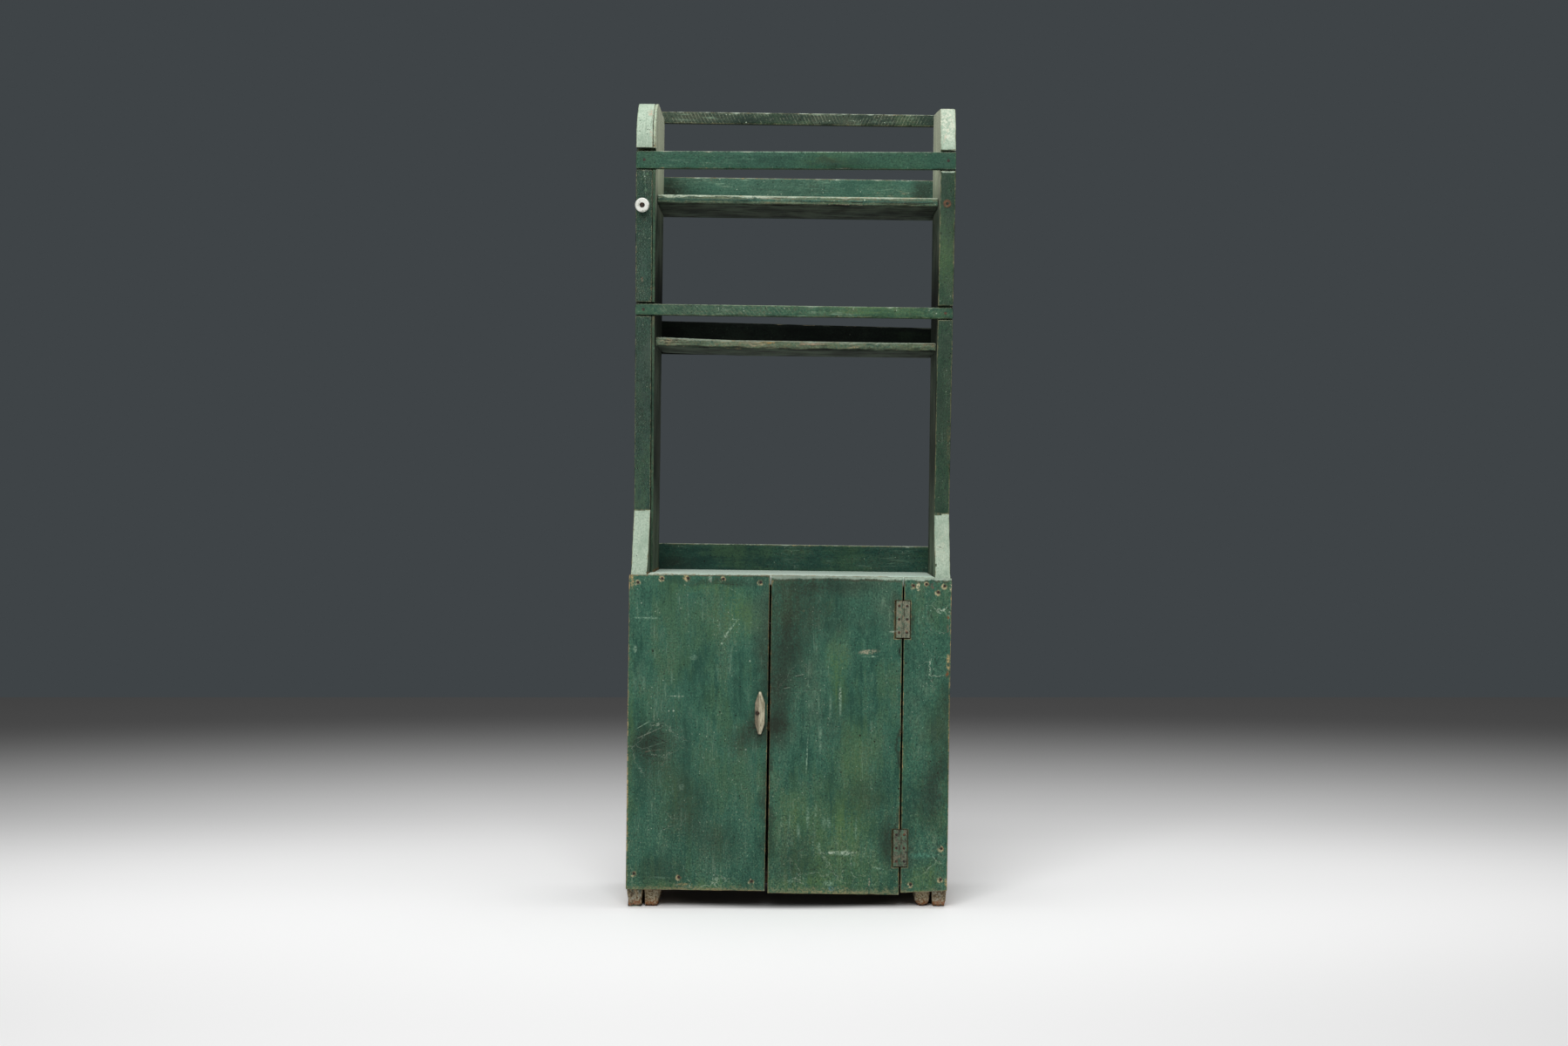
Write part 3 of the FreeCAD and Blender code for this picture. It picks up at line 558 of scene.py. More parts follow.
# %% The paint recipe
def old_paint(
    name, grain, tones=GREENS, seed=0.0, wear=0.4, bare=0.0, dust=0.5, rough=0.62, mood=1.0,
    yellows=(), grime_and_shade=(), scuffs=(), hairs=(), nails=(), saw=(), sawn=0.4, crackle=0.0,
    kicked=0.0, lip=None, foot=None, edge_tone=BARE, dust_and_top_light=0.75, gloss=0.2,
):
    """Streaky, worn paint; the lists give places, sizes and strengths on this board."""
    f = Finish(name, gloss=gloss, grain=grain)
    tones = [tone(*shade) for shade in tones]
    clouds(f, seed)
    film(f, tones, mood)
    sunned(f, yellows, dust, mood)
    if saw:
        saw_lines(f, saw, sawn)
    pits = specks(f, dust)
    scraped(f, hairs)
    if kicked:
        kicked_low(f, kicked)
    through = worn_edges(f, wear, dust_and_top_light, edge_tone)
    if bare:
        through = through.most(bare_patches(f, bare))
    scuffed(f, scuffs)
    height = f.fine * 0.35 + f.streak * 0.15 + f.grit * 0.5 - through * 0.5 - pits * 0.8
    if crackle:
        height = crackled(f, tones[0], crackle, height)
    if nails:
        around_nails(f, nails)
    if lip:
        painted_lip(f, *lip)
    grimed_and_shaded(f, grime_and_shade)
    if foot:
        upright = f.along("Z")
        rotten = 1 - f.step(upright + f.ragged.off(0.05) + f.patch.off(0.04), 0.6 * foot, foot)
        f.lay(rotten_wood(f, upright, f.patch, f.grit, f.ragged), rotten * 0.95)
    rough = (rough + f.fine * 0.16 + through * 0.2 - 0.06).least(0.95)
    return f.done(rough, height, 0.0010 + 0.0012 * crackle, 0.6)


FRONT_FACE, MARK_REACH = -22, 60  # how far back the front boards' face is, and a mark's reach, in mm


def spot(back, deep, across, up, wide, tall):
    """The middle and the half sizes of a mark, from millimetres in the square workshop."""
    return at(across, back, up), MM * Vector((wide, deep, tall))


def areas(*rows, back=FRONT_FACE, deep=MARK_REACH):
    """Soft areas; a row is across, up, half width, half height, strength."""
    return [(*spot(back, deep, *place), strength) for *place, strength in rows]


def marks(*rows, back=FRONT_FACE, deep=MARK_REACH):
    """Scuffs; a row is across, up, half width, half height, turn in degrees, strength, stroke."""
    return [
        (*spot(back, deep, *place), math.radians(turn), strength, stroke)
        for *place, turn, strength, stroke in rows
    ]


print("a mark on the front boards reaches", MARK_REACH, "mm in")

# %% [markdown]
# ## Bare pine
# Inside and at the back nobody bothered to paint. Old pine there has gone brown and then grey, with
# darker summer grain, the scars of the saw and dust in the corners. The grain is noise drawn out
# along the board, with a bent wave for the summer wood.

# %% The bare pine recipe
PINES = (84, 62, 42), (134, 106, 72), (166, 140, 100)
GREY_WOOD = tone(120, 112, 94)


def bare_pine(name, grain, tones=PINES, seed=0.0, grey=0.4, foot=None, wash=0.0, splits=0.0,
              coarse=1.0, grime_and_shade=(), painted_light_patches=()):
    """Old wood without paint; wash is a thin green one and coarse widens the grain."""
    f = Finish(name, gloss=0.2, grain=grain)
    ring = f.fibres(0.009 * coarse, 0.5, 6, 0.55, seed)
    fine = f.fibres(0.0018 * coarse, 0.05, 3, 0.6, seed + 3)
    patch = f.cloud((0.07, 0.07, 0.11), 4, 0.6, seed + 5)
    grit = f.cloud((0.004,) * 3, 3, 0.7, seed + 7)
    lines = f.node(
        "ShaderNodeTexWave", {"bands_direction": "X" if grain != "x" else "Y"},
        {"Vector": f.stretched(f.drawn(0.35, 3.5)), "Scale": 12.0, "Distortion": 9.0,
         "Detail": 3.0, "Detail Scale": 1.4},
    )
    dark, middle, light = (tone(*shade) for shade in tones)
    f.coat = f.tint(middle, light, f.mixed(ring, patch, 0.6, 0.4, 0.64))
    f.lay(dark, f.mixed(lines, fine, 0.5, 0.52, 0.8) * 0.6)
    f.lay(GREY_WOOD, f.step(patch + fine * 0.3, 0.5, 0.85) * grey)
    if wash:
        f.lay(MINT, f.step(f.fibres(0.006, 0.09, 5, 0.7, seed + 9) + patch * 0.5, 0.62, 0.9) * wash)
    if splits:
        split = f.fibres(0.0026 * coarse, 0.07, 4, 0.65, seed + 11)
        f.lay(BLACK, f.step(split, 0.54, 0.6) * splits)
    # pale patches laid on: painted light
    for centre, size, strength in painted_light_patches:
        pale = f.blob(centre, size, soft=0.5) * (0.55 + 0.45 * f.mixed(ring, fine, 0.5, 0.4, 0.6))
        f.lay(tone(212, 216, 192), pale * strength)
    # dark areas laid in black; on the hutch they are painted shade under the shelves
    for centre, size, strength in grime_and_shade:
        f.lay(BLACK, f.blob(centre, size, soft=1.0) * strength)
    f.lay(BLACK, f.dots((0.014, 0.014, 0.02), 0.08, 0.35, seed) * 0.7)
    if foot:
        upright = f.along("Z")
        rotten = 1 - f.step(upright + grit.off(0.05), 0.5 * foot, foot)
        f.lay(rotten_wood(f, upright, patch, grit, fine), rotten)
    arris, sky = f.attribute("arris"), f.attribute("sky")
    f.lay(tone(142, 140, 120), f.step(sky + grit.off(0.6), 0.5, 0.9) * 0.35)
    f.lay(dark, arris * f.step(grit, 0.4, 0.6) * 0.4)
    return f.done(0.72 + fine * 0.18, fine * 0.5 + lines * 0.3 + grit * 0.25, 0.0009, 0.5)


inside_pine = bare_pine("pine inside the cupboard", "z", seed=4.0, grey=0.3)
print(inside_pine.name, "has", len(inside_pine.node_tree.nodes), "nodes")

# %% [markdown]
# ## The outline of a board
# Every board is read from the exact model: the outline of its flat face, without the nail holes,
# is pulled out to its thickness again. That gives a clean blank of a few large faces, which can
# be bevelled and cut far better than the exact part's loose triangles.


# %% Read a board's outline
def read_node(node):
    """A merged copy of an exact part, laid square."""
    bm = bmesh.new()
    bm.from_mesh(nodes[node].data)
    bmesh.ops.remove_doubles(bm, verts=bm.verts, dist=1e-6)
    bmesh.ops.transform(bm, matrix=lay_square, verts=bm.verts)
    return bm


def corners(bm):
    """The lowest and the highest corner of a bmesh's box."""
    return (Vector([pick(v.co[axis] for v in bm.verts) for axis in range(3)]) for pick in (min, max))


def loops_of(edges):
    """Groups the edges that hang together."""
    left, loops = set(edges), []
    while left:
        first = left.pop()
        loop, front = [first], [first]
        while front:
            for vert in front.pop().verts:
                for edge in vert.link_edges:
                    if edge in left:
                        left.discard(edge)
                        loop.append(edge)
                        front.append(edge)
        loops.append(loop)
    return loops


def board_blank(node, axis, side=1):
    """A board pulled out from the outline of its flat face, with its nail holes left out."""
    bm = read_node(node)
    low, high = corners(bm)
    axis = AXES[axis]
    level = high[axis] if side > 0 else low[axis]
    flat = {f for f in bm.faces if all(abs(v.co[axis] - level) < 2e-5 for v in f.verts)}
    rim = [e for e in bm.edges if sum(f in flat for f in e.link_faces) == 1]
    outer = max(loops_of(rim), key=lambda loop: sum(e.calc_length() for e in loop))
    lid = bmesh.ops.edgeloop_fill(bm, edges=outer)["faces"][0]
    bmesh.ops.delete(bm, geom=[v for v in bm.verts if v not in set(lid.verts)], context="VERTS")
    bmesh.ops.delete(bm, geom=[f for f in bm.faces if f is not lid], context="FACES_ONLY")
    bmesh.ops.delete(bm, geom=[e for e in bm.edges if lid not in e.link_faces], context="EDGES")
    bmesh.ops.dissolve_limit(bm, angle_limit=math.radians(0.3), verts=bm.verts, edges=bm.edges)
    pulled = bmesh.ops.extrude_face_region(bm, geom=bm.faces[:])["geom"]
    away = Vector((0, 0, 0))
    away[axis] = (low[axis] - high[axis]) * (1 if side > 0 else -1)
    bmesh.ops.translate(bm, vec=away, verts=[v for v in pulled if isinstance(v, bmesh.types.BMVert)])
    bmesh.ops.recalc_face_normals(bm, faces=bm.faces)
    return bm


door_low, door_high = corners(read_node("door_board"))
print("the door is", [round(size, 4) for size in door_high - door_low], "m")

# %% [markdown]
# ## Softened and ringed
# A narrow bevel takes the sharpness off a blank. Two rings set into each face then carry the value
# that says how near an edge is, for the paint's wear, and cuts about every centimetre give the
# faces enough points to move.

# %% Soften, ring and dice
ARRIS_RINGS = (0.0035, 0.4), (0.009, 0.0)  # how wide each ring is, and the value inside it
SHARP = 20  # an edge that bends by more degrees than this is softened


def soften(bm, radius, edges=None, segments=2):
    """Rounds edges over; without a list of them, all sharp ones."""
    if edges is None:
        edges = [e for e in bm.edges if e.calc_face_angle(0) > math.radians(SHARP)]
    bmesh.ops.bevel(
        bm, geom=edges, offset=radius, segments=segments, profile=0.5, affect="EDGES",
        material=-1, clamp_overlap=True,
    )


def smooth_groups(faces, angle=25):
    """Groups faces that run into each other without a sharp edge, such as those of a curve."""
    left, groups = set(faces), []
    while left:
        first = left.pop()
        group, front = [first], [first]
        while front:
            for edge in front.pop().edges:
                if edge.calc_face_angle(4) < math.radians(angle):
                    for face in edge.link_faces:
                        if face in left:
                            left.discard(face)
                            group.append(face)
                            front.append(face)
        groups.append(group)
    return groups


def ring_faces(bm, layer, width, value):
    """Insets every flat or curve that is wide enough, and writes a value on its inner points."""
    wide = [f for f in bm.faces if 2 * f.calc_area() / f.calc_perimeter() > 1.6 * width]
    for group in smooth_groups(wide):
        narrow = min(2 * face.calc_area() / face.calc_perimeter() for face in group)
        reach = min(width, 0.27 * narrow)
        bmesh.ops.inset_region(bm, faces=group, thickness=reach, use_boundary=True, use_even_offset=True)
        for vert in {vert for face in group for vert in face.verts}:
            vert[layer] = value


def dice(bm, pitches):
    """Cuts right through in all three directions, so that the faces have points to move."""
    low, high = corners(bm)
    for axis, pitch in enumerate(pitches):
        count = int((high[axis] - low[axis]) / pitch)
        normal = Vector([float(axis == other) for other in range(3)])
        for cut in range(1, count):
            place = normal * (low[axis] + (high[axis] - low[axis]) * cut / count)
            geom = bm.verts[:] + bm.edges[:] + bm.faces[:]
            bmesh.ops.bisect_plane(bm, geom=geom, dist=1e-6, plane_co=place, plane_no=normal)


print("a ring is", ARRIS_RINGS[0][0], "m wide, the next", ARRIS_RINGS[1][0], "m")

# %% [markdown]
# ## Weathered
# The points are pushed in by noise: gentle hollows on the flats, knocks along the edges, and rot
# near the floor. Wood only ever goes missing, so nothing grows outside the real size.

# %% Age a board
ROT_HEIGHT = 0.042  # rot reaches this far up from the floor
STANDS = 0.93  # where more of the rot's strength than this is left, the board stands on the floor


def weather(bm, layer, hollow, knock, seed, grain_axis, rot):
    """Pushes points inwards: hollows on the flats, knocks along the arrises, rot near the floor."""
    bm.normal_update()
    moves = []
    low, high = corners(bm)
    middle, half = (low + high) / 2, (high - low) / 2
    for vert in bm.verts:
        place = vert.co + Vector((seed, -seed, 2 * seed))
        drawn = Vector(place)
        drawn[grain_axis] *= 0.25
        depth = hollow * (0.35 + 0.65 * abs(noise.noise(drawn * 14)))
        if vert[layer] > 0.5:
            chip = max(0.0, noise.noise(place * 45) - 0.12) + 0.6 * max(0.0, noise.noise(place * 130))
            depth += knock * (0.12 + chip)
        inward, decay = -vert.normal, 1 - (stand_up @ vert.co).z / ROT_HEIGHT
        if rot and decay > STANDS:
            inward.z = 0
        moves.append((vert, inward * depth))
        if rot and decay > 0:
            across, along = ((vert.co - middle)[axis] / half[axis] for axis in (0, 1))
            eaten = rot * decay * (0.3 + 1.4 * abs(noise.noise(place * 60)))
            eaten *= 0.6 + 0.6 * abs(across * along)
            moves.append((vert, Vector((-across, -along, 0)) * eaten))
    for vert, move in moves:
        vert.co += move


def age(bm, radius=0.0013, pitches=(0.012, 0.012, 0.012), hollow=0.0007, knock=0.0035, seed=1.0,
        grain="z", cuts=(), rot=0.0):
    """The whole treatment for one blank."""
    soften(bm, radius)
    if cuts:
        carve(bm, cuts)
    arris = bm.verts.layers.float.new("arris")
    for vert in bm.verts:
        vert[arris] = 1.0
    for width, value in ARRIS_RINGS:
        ring_faces(bm, arris, width, value)
    dice(bm, pitches)
    weather(bm, arris, hollow, knock, seed, AXES[grain], rot)
    sky = bm.verts.layers.float.new("sky")
    bm.normal_update()
    for vert in bm.verts:
        vert[sky] = vert.normal.z


print("rot reaches", ROT_HEIGHT, "m up")

# %% [markdown]
# ## Cut outs and handing over
# The hinge seats are cut with a boolean, which needs real objects, so it is done on a throw-away
# pair. A finished bmesh is leaned over again and becomes an object, which says what body it rides
# on, what it is made of and which exact part it stands for.

# %% Carve, and hand a finished piece over
made_pieces = {}


def carve(bm, blocks):
    """Takes blocks out of a blank with a boolean, done on a throw-away object."""
    mesh, cutter_mesh = bpy.data.meshes.new("blank"), bpy.data.meshes.new("cutter")
    bm.to_mesh(mesh)
    cutter = bmesh.new()
    for low, high in blocks:
        cube = bmesh.ops.create_cube(cutter, size=1.0)["verts"]
        bmesh.ops.scale(cutter, vec=high - low, verts=cube)
        bmesh.ops.translate(cutter, vec=(low + high) / 2, verts=cube)
    cutter.to_mesh(cutter_mesh)
    cutter.free()
    blank, tool = (bpy.data.objects.new(m.name, m) for m in (mesh, cutter_mesh))
    for thing in (blank, tool):
        bpy.context.scene.collection.objects.link(thing)
    modifier = blank.modifiers.new("carve", "BOOLEAN")
    modifier.operation, modifier.object, modifier.solver = "DIFFERENCE", tool, "EXACT"
    modifier.use_self = True
    result = bpy.data.meshes.new_from_object(blank.evaluated_get(bpy.context.evaluated_depsgraph_get()))
    bm.clear()
    bm.from_mesh(result)
    for thing in (blank, tool):
        bpy.data.objects.remove(thing)
    bmesh.ops.remove_doubles(bm, verts=bm.verts, dist=1e-6)
    bmesh.ops.dissolve_limit(bm, angle_limit=math.radians(0.3), verts=bm.verts, edges=bm.edges)


def hand_over(name, bm, body, stands_for, finishes, pick):
    """Stands a bmesh up as an object, with its finishes, its body and its nodes."""
    bm.normal_update()
    for face in bm.faces:
        face.material_index = pick(face.calc_center_median() / MM, face.normal) if pick else 0
        face.smooth = True
    bmesh.ops.transform(bm, matrix=stand_up, verts=bm.verts)
    mesh = bpy.data.meshes.new(name)
    bm.to_mesh(mesh)
    bm.free()
    for finish in finishes:
        mesh.materials.append(finish)
    mesh.set_sharp_from_angle(angle=math.radians(30))
    piece = bpy.data.objects.new(name, mesh)
    bpy.context.scene.collection.objects.link(piece)
    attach(piece, body)
    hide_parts(*stands_for)
    made_pieces[name] = len(mesh.polygons)
    print(name, len(mesh.polygons), "faces")


def board(node, axis, finishes, pick=None, body="carcass", side=1, shape=None, **ageing):
    """Reads, shapes, ages and hands over one board in place of its exact part."""
    bm = board_blank(node, axis, side)
    if shape:
        shape(bm)
    age(bm, **ageing)
    hand_over("aged_" + node, bm, body, [node], finishes, pick)


print(len(nodes), "exact parts,", len(made_pieces), "dressed so far")

# %% [markdown]
# ## Where the nails are
# The nail heads are parts of the exact model. Each group is one mesh of many small islands, so the
# place of every head is found by taking the islands apart and reading their front ends. The paint
# around a head flakes off in a ring.


# %% Find the nail heads
def nail_heads(node, axis, side):
    """The outer end of every nail in a group, standing where it really is."""
    bm = bmesh.new()
    bm.from_mesh(nodes[node].data)
    bmesh.ops.remove_doubles(bm, verts=bm.verts, dist=1e-6)
    heads = []
    for loop in loops_of(bm.edges):
        spots = {vert for edge in loop for vert in edge.verts}
        end = max(side * vert.co[AXES[axis]] for vert in spots)
        face = [vert.co for vert in spots if side * vert.co[AXES[axis]] > end - 0.0015]
        heads.append(sum(face, Vector()) / len(face))
    bm.free()
    return heads


fixed_heads = nail_heads("nails_fixed_board", "y", -1)
stile_heads = nail_heads("nails_hinge_stile", "y", -1)
left_heads = nail_heads("nails_side_left", "x", -1)
right_heads = nail_heads("nails_side_right", "x", 1)
print(len(fixed_heads), len(stile_heads), len(left_heads), len(right_heads), "nail heads")

# %% [markdown]
# ## The wide fixed board
# Its grain is upright. The edge beside the door is black with grime from a century of fingers, the
# bottom is rubbed yellow, an old knot has cracked the paint low on the left, and pale scuffs sit
# where things were dragged past.

# %% Fixed board paint
fixed_paint = old_paint(
    "fixed board paint", "z", seed=2.0, kicked=0.5, wear=0.46, nails=fixed_heads, lip=(0.7265, 0.008),
    yellows=areas(
        (-116, 645, 70, 90, 1.0), (-190, 700, 120, 30, 0.5), (-250, 246, 60, 120, 0.6),
        (-200, 44, 180, 30, 1.0), (-345, 420, 16, 330, 0.5),
    ),
    grime_and_shade=areas(
        (-62, 392, 56, 52, 0.95), (-92, 372, 60, 44, 0.6), (-50, 540, 44, 240, 0.6),
        (-44, 200, 22, 240, 0.6), (-312, 362, 60, 56, 0.7), (-280, 330, 110, 130, 0.45),
        (-225, 215, 80, 110, 0.5), (-160, 150, 80, 80, 0.4), (-150, 716, 150, 16, 0.5),
        (-270, 80, 90, 60, 0.35),
    ),
    hairs=areas((-300, 355, 90, 90, 1.0), (-190, 60, 90, 60, 0.7), (-260, 180, 50, 60, 0.5)),
    scuffs=marks(
        (-129, 609, 3, 28, 38, 2.0, tone(140, 166, 142)), (-118, 629, 12, 1.6, 0, 1.2, MINT),
        (-139, 592, 5, 5, 0, 0.9, CHALK), (-322, 630, 26, 2.6, 0, 0.9, MINT),
        (-300, 630, 16, 4.5, 0, 0.8, MINT), (-243, 460, 24, 1.4, 2, 1.0, CHALK),
        (-210, 545, 12, 9, 0, 0.5, MINT), (-175, 716, 5, 11, 0, 1.6, CHALK),
        (-337, 562, 6, 12, 0, 0.8, MINT), (-251, 428, 3, 3, 0, 1.4, CHALK),
        (-99, 366, 3, 5, 0, 1.0, MINT), (-262, 428, 2, 2, 0, 1.1, CHALK),
        (-306, 378, 40, 1.5, -24, 2.2, CHALK), (-294, 352, 44, 1.3, -18, 2.0, MINT),
        (-318, 396, 24, 1.4, -30, 1.8, MINT), (-300, 340, 34, 1.3, -8, 1.6, WORN),
        (-282, 366, 30, 1.6, 24, 1.6, BLACK), (-308, 330, 30, 1.4, 10, 1.4, GRIME_AND_SHADE),
        (-210, 41, 150, 3.2, 1, 1.4, tone(140, 132, 98)), (-352, 400, 3, 420, 0, 1.3, BARE),
        (-345, 712, 5, 22, 0, 1.5, BARE), (-229, 719, 9, 8, 0, 1.1, BARE),
        (-120, 690, 40, 0.9, 30, 0.8, MINT), (-140, 706, 60, 1.2, 4, 0.9, BLACK),
        (-232, 262, 9, 12, 0, 0.8, MINT), (-330, 236, 4, 4, 0, 0.9, MINT),
        (-275, 64, 30, 3, 2, 0.8, MINT), (-226, 50, 18, 4, 0, 0.8, BARE),
    ),
)
print("the fixed board has", len(fixed_paint.node_tree.nodes), "nodes in its paint")

# %% [markdown]
# ## The door
# The dirtiest board of all, darkest beside the turn button and along the top, and the most kicked
# one at the foot. Long pale runs come down the middle, and a chalky streak crosses it at the lower
# hinge.

# %% Door paint
door_paint = old_paint(
    "door paint", "z", seed=5.0, kicked=0.7, wear=0.46, lip=(0.7205, 0.0),
    yellows=areas(
        (108, 514, 36, 130, 1.0), (127, 185, 85, 100, 1.0), (60, 50, 140, 30, 1.0),
        (150, 330, 50, 130, 0.6), (20, 200, 60, 80, 0.7), (90, 100, 170, 110, 0.7),
    ),
    grime_and_shade=areas(
        # the first area, a narrow band along the hinge gap, is painted shade
        (246, 380, 7, 400, 0.7), (238, 640, 34, 90, 0.7), (232, 145, 40, 90, 0.7),
        (-6, 600, 100, 190, 0.7), (-30, 480, 70, 120, 0.65), (-30, 400, 56, 66, 0.95),
        (-46, 250, 20, 240, 0.6), (70, 700, 160, 40, 0.7), (60, 650, 110, 80, 0.4),
        (100, 420, 60, 90, 0.25), (170, 240, 80, 80, 0.35), (20, 110, 90, 90, 0.4),
    ),
    hairs=areas((0, 500, 60, 50, 0.8), (40, 90, 80, 70, 0.7), (130, 90, 70, 60, 0.5)),
    scuffs=marks(
        (172, 562, 30, 7, -4, 1.0, WORN), (176, 552, 22, 3, 0, 1.0, MINT),
        (110, 123, 54, 4.5, 0, 1.1, CHALK), (122, 122, 26, 7, 0, 1.0, MINT),
        (128, 123, 14, 6, 0, 1.3, CHALK), (112, 455, 4.5, 50, 0, 0.9, MINT),
        (111, 470, 3, 18, 0, 1.0, CHALK), (91, 440, 4, 40, 0, 0.7, MINT), (70, 380, 5, 60, 2, 0.6, MINT),
        (41, 335, 2.4, 60, 3, 0.9, MINT), (79, 187, 7, 18, 0, 0.8, MINT), (91, 56, 15, 10, 0, 1.0, MINT),
        (98, 44, 9, 8, 0, 0.9, tone(70, 130, 140)), (-6, 484, 14, 1.6, -10, 2.0, BLACK),
        (-6, 481, 12, 1.0, -10, 1.6, CHALK), (18, 506, 20, 1.2, -12, 1.4, BLACK),
        (22, 509, 16, 1.0, -12, 1.2, CHALK), (35, 130, 9, 3, -30, 1.4, GRIME_AND_SHADE),
        (20, 124, 8, 3, 10, 1.2, GRIME_AND_SHADE), (240, 562, 2.5, 16, 0, 1.6, BLACK),
        (-44, 716, 10, 12, 0, 1.4, BARE), (-20, 721, 22, 4, 0, 1.4, WEATHER),
        (30, 722, 40, 3.5, 0, 1.2, CHALK), (-46, 450, 3, 12, 0, 1.4, tone(170, 124, 60)),
        (228, 607, 16, 2.6, 0, 1.6, CHALK), (30, 650, 4, 4, 0, 1.0, BARE),
        (200, 90, 16, 3, 10, 0.9, MINT), (44, 200, 5, 30, 0, 0.8, MINT), (62, 214, 4, 20, 2, 0.7, MINT),
        (70, 134, 4, 18, 0, 0.9, MINT), (90, 188, 6, 14, 0, 0.8, MINT), (24, 168, 5, 24, -2, 0.7, MINT),
        (150, 176, 3, 34, 1, 0.7, MINT), (180, 60, 3, 12, 0, 1.0, WORN), (8, 60, 10, 4, 8, 1.1, MINT),
        (60, 86, 7, 3, -20, 1.4, BLACK), (100, 37, 140, 3.2, 0.6, 1.5, tone(146, 138, 102)),
    ),
)
print("the door has", len(door_paint.node_tree.nodes), "nodes in its paint")

# %% [markdown]
# ## The hinge stile
# A narrow board that nobody touches. Its right edge is bare where it was knocked on the way
# through doorways, and the pale streak of the door runs on over it.

# %% Stile paint
stile_paint = old_paint(
    "stile paint", "z", seed=9.0, kicked=0.5, wear=0.5, nails=stile_heads, lip=(0.7205, 0.0),
    yellows=areas((300, 70, 60, 50, 1.0), (320, 400, 50, 120, 0.5), (350, 250, 12, 200, 0.6)),
    grime_and_shade=areas(
        # the first area, a narrow band along the hinge gap, is painted shade
        (236, 380, 6, 400, 0.6), (254, 640, 26, 90, 0.6), (256, 145, 26, 90, 0.6),
        (326, 300, 50, 170, 0.6), (300, 240, 60, 90, 0.4), (340, 440, 34, 80, 0.5),
    ),
    hairs=areas((325, 640, 50, 60, 1.0), (315, 520, 40, 60, 0.8), (320, 90, 40, 60, 0.6)),
    scuffs=marks(
        (292, 119, 44, 9, 0, 0.8, tone(88, 146, 124)), (326, 300, 3, 3, 0, 1.4, BLACK),
        (331, 340, 2, 4, 0, 1.2, BLACK), (346, 540, 5, 26, 0, 1.4, BARE), (344, 515, 5, 10, 0, 1.4, RUST),
        (345, 610, 5, 20, 0, 1.0, WEATHER), (279, 706, 6, 12, 0, 2.0, tone(206, 196, 160)),
        (351, 706, 5, 14, 0, 2.0, tone(206, 196, 160)), (310, 707, 8, 9, 0, 1.2, tone(110, 84, 74)),
        (330, 656, 30, 1.0, 34, 0.9, MINT), (318, 600, 26, 1.2, -70, 1.2, GRIME_AND_SHADE),
        (259, 607, 9, 2.4, 0, 1.6, CHALK), (345, 640, 4, 6, 0, 1.2, RUST),
        (292, 470, 30, 1.2, -40, 0.8, BLACK), (288, 40, 12, 6, 0, 1.1, YELLOW),
        (348, 60, 5, 14, 0, 1.2, BARE), (294, 39, 58, 3.2, 0, 1.4, tone(140, 132, 98)),
        (351, 300, 3, 260, 0, 0.9, BARE),
    ),
)
print("the stile has", len(stile_paint.node_tree.nodes), "nodes in its paint")

# %% [markdown]
# ## Hinge seats
# The leaves lie in shallow seats that were cut a little too large, wider on the door than on the
# stile. Beside and below each leaf a deeper slit is left open, and the knuckle has its own relief.

# %% The hinge seats
SEAT_FLOOR, SLIT_FLOOR, RELIEF_FLOOR = -0.0197, -0.011, -0.0178  # how far back each cut goes
CUT_START = -0.03  # in front of the boards
SIDE_GAP = {-1: 0.0034, 1: 0.0016}  # the play beside the leaf, on the door and on the stile
PLAY_UNDER, PLAY_OVER, SLIT_TOP = 0.0026, 0.0009, 0.0002
KNUCKLE, LEAF_ROOT = 0.0032, 0.006  # half sizes, from the hinge line


def mortise(leaf, side):
    """The air round a hinge leaf: its shallow seat, the knuckle's relief and two deep slits."""
    low, high = corners(read_node(leaf))
    centre = HINGE_PLACE.x
    if side > 0:
        left, right = centre - LEAF_ROOT, high.x + SIDE_GAP[side]
        edge = high.x, right
    else:
        left, right = low.x - SIDE_GAP[side], centre + LEAF_ROOT
        edge = left, low.x
    under, over = low.z - PLAY_UNDER, high.z + PLAY_OVER
    cuts = (
        (left, right, SEAT_FLOOR, over), (centre - KNUCKLE, centre + KNUCKLE, RELIEF_FLOOR, over),
        (*edge, SLIT_FLOOR, over), (left, right, SLIT_FLOOR, low.z - SLIT_TOP),
    )
    return [(Vector((x0, CUT_START, under)), Vector((x1, floor, top))) for x0, x1, floor, top in cuts]


def painted_or_bare(centre, normal):
    """The painted front and edges of a board, or its bare back."""
    return 1 if normal.y > 0.7 else 0


door_cuts, stile_cuts = (
    [block for hinge in ("hinge_top", "hinge_bottom") for block in mortise(hinge + leaf, side)]
    for leaf, side in (("_door_leaf", -1), ("_stile_leaf", 1))
)
CLOSE = {"radius": 0.0006, "knock": 0.0018}  # the front boards meet closely
board("fixed_front_board", "y", [fixed_paint, inside_pine], painted_or_bare, seed=2.3, **CLOSE)
board("door_board", "y", [door_paint, inside_pine], painted_or_bare, "door", seed=5.1,
      cuts=door_cuts, **CLOSE)
board("hinge_stile", "y", [stile_paint, inside_pine], painted_or_bare, seed=8.2,
      cuts=stile_cuts, **CLOSE)
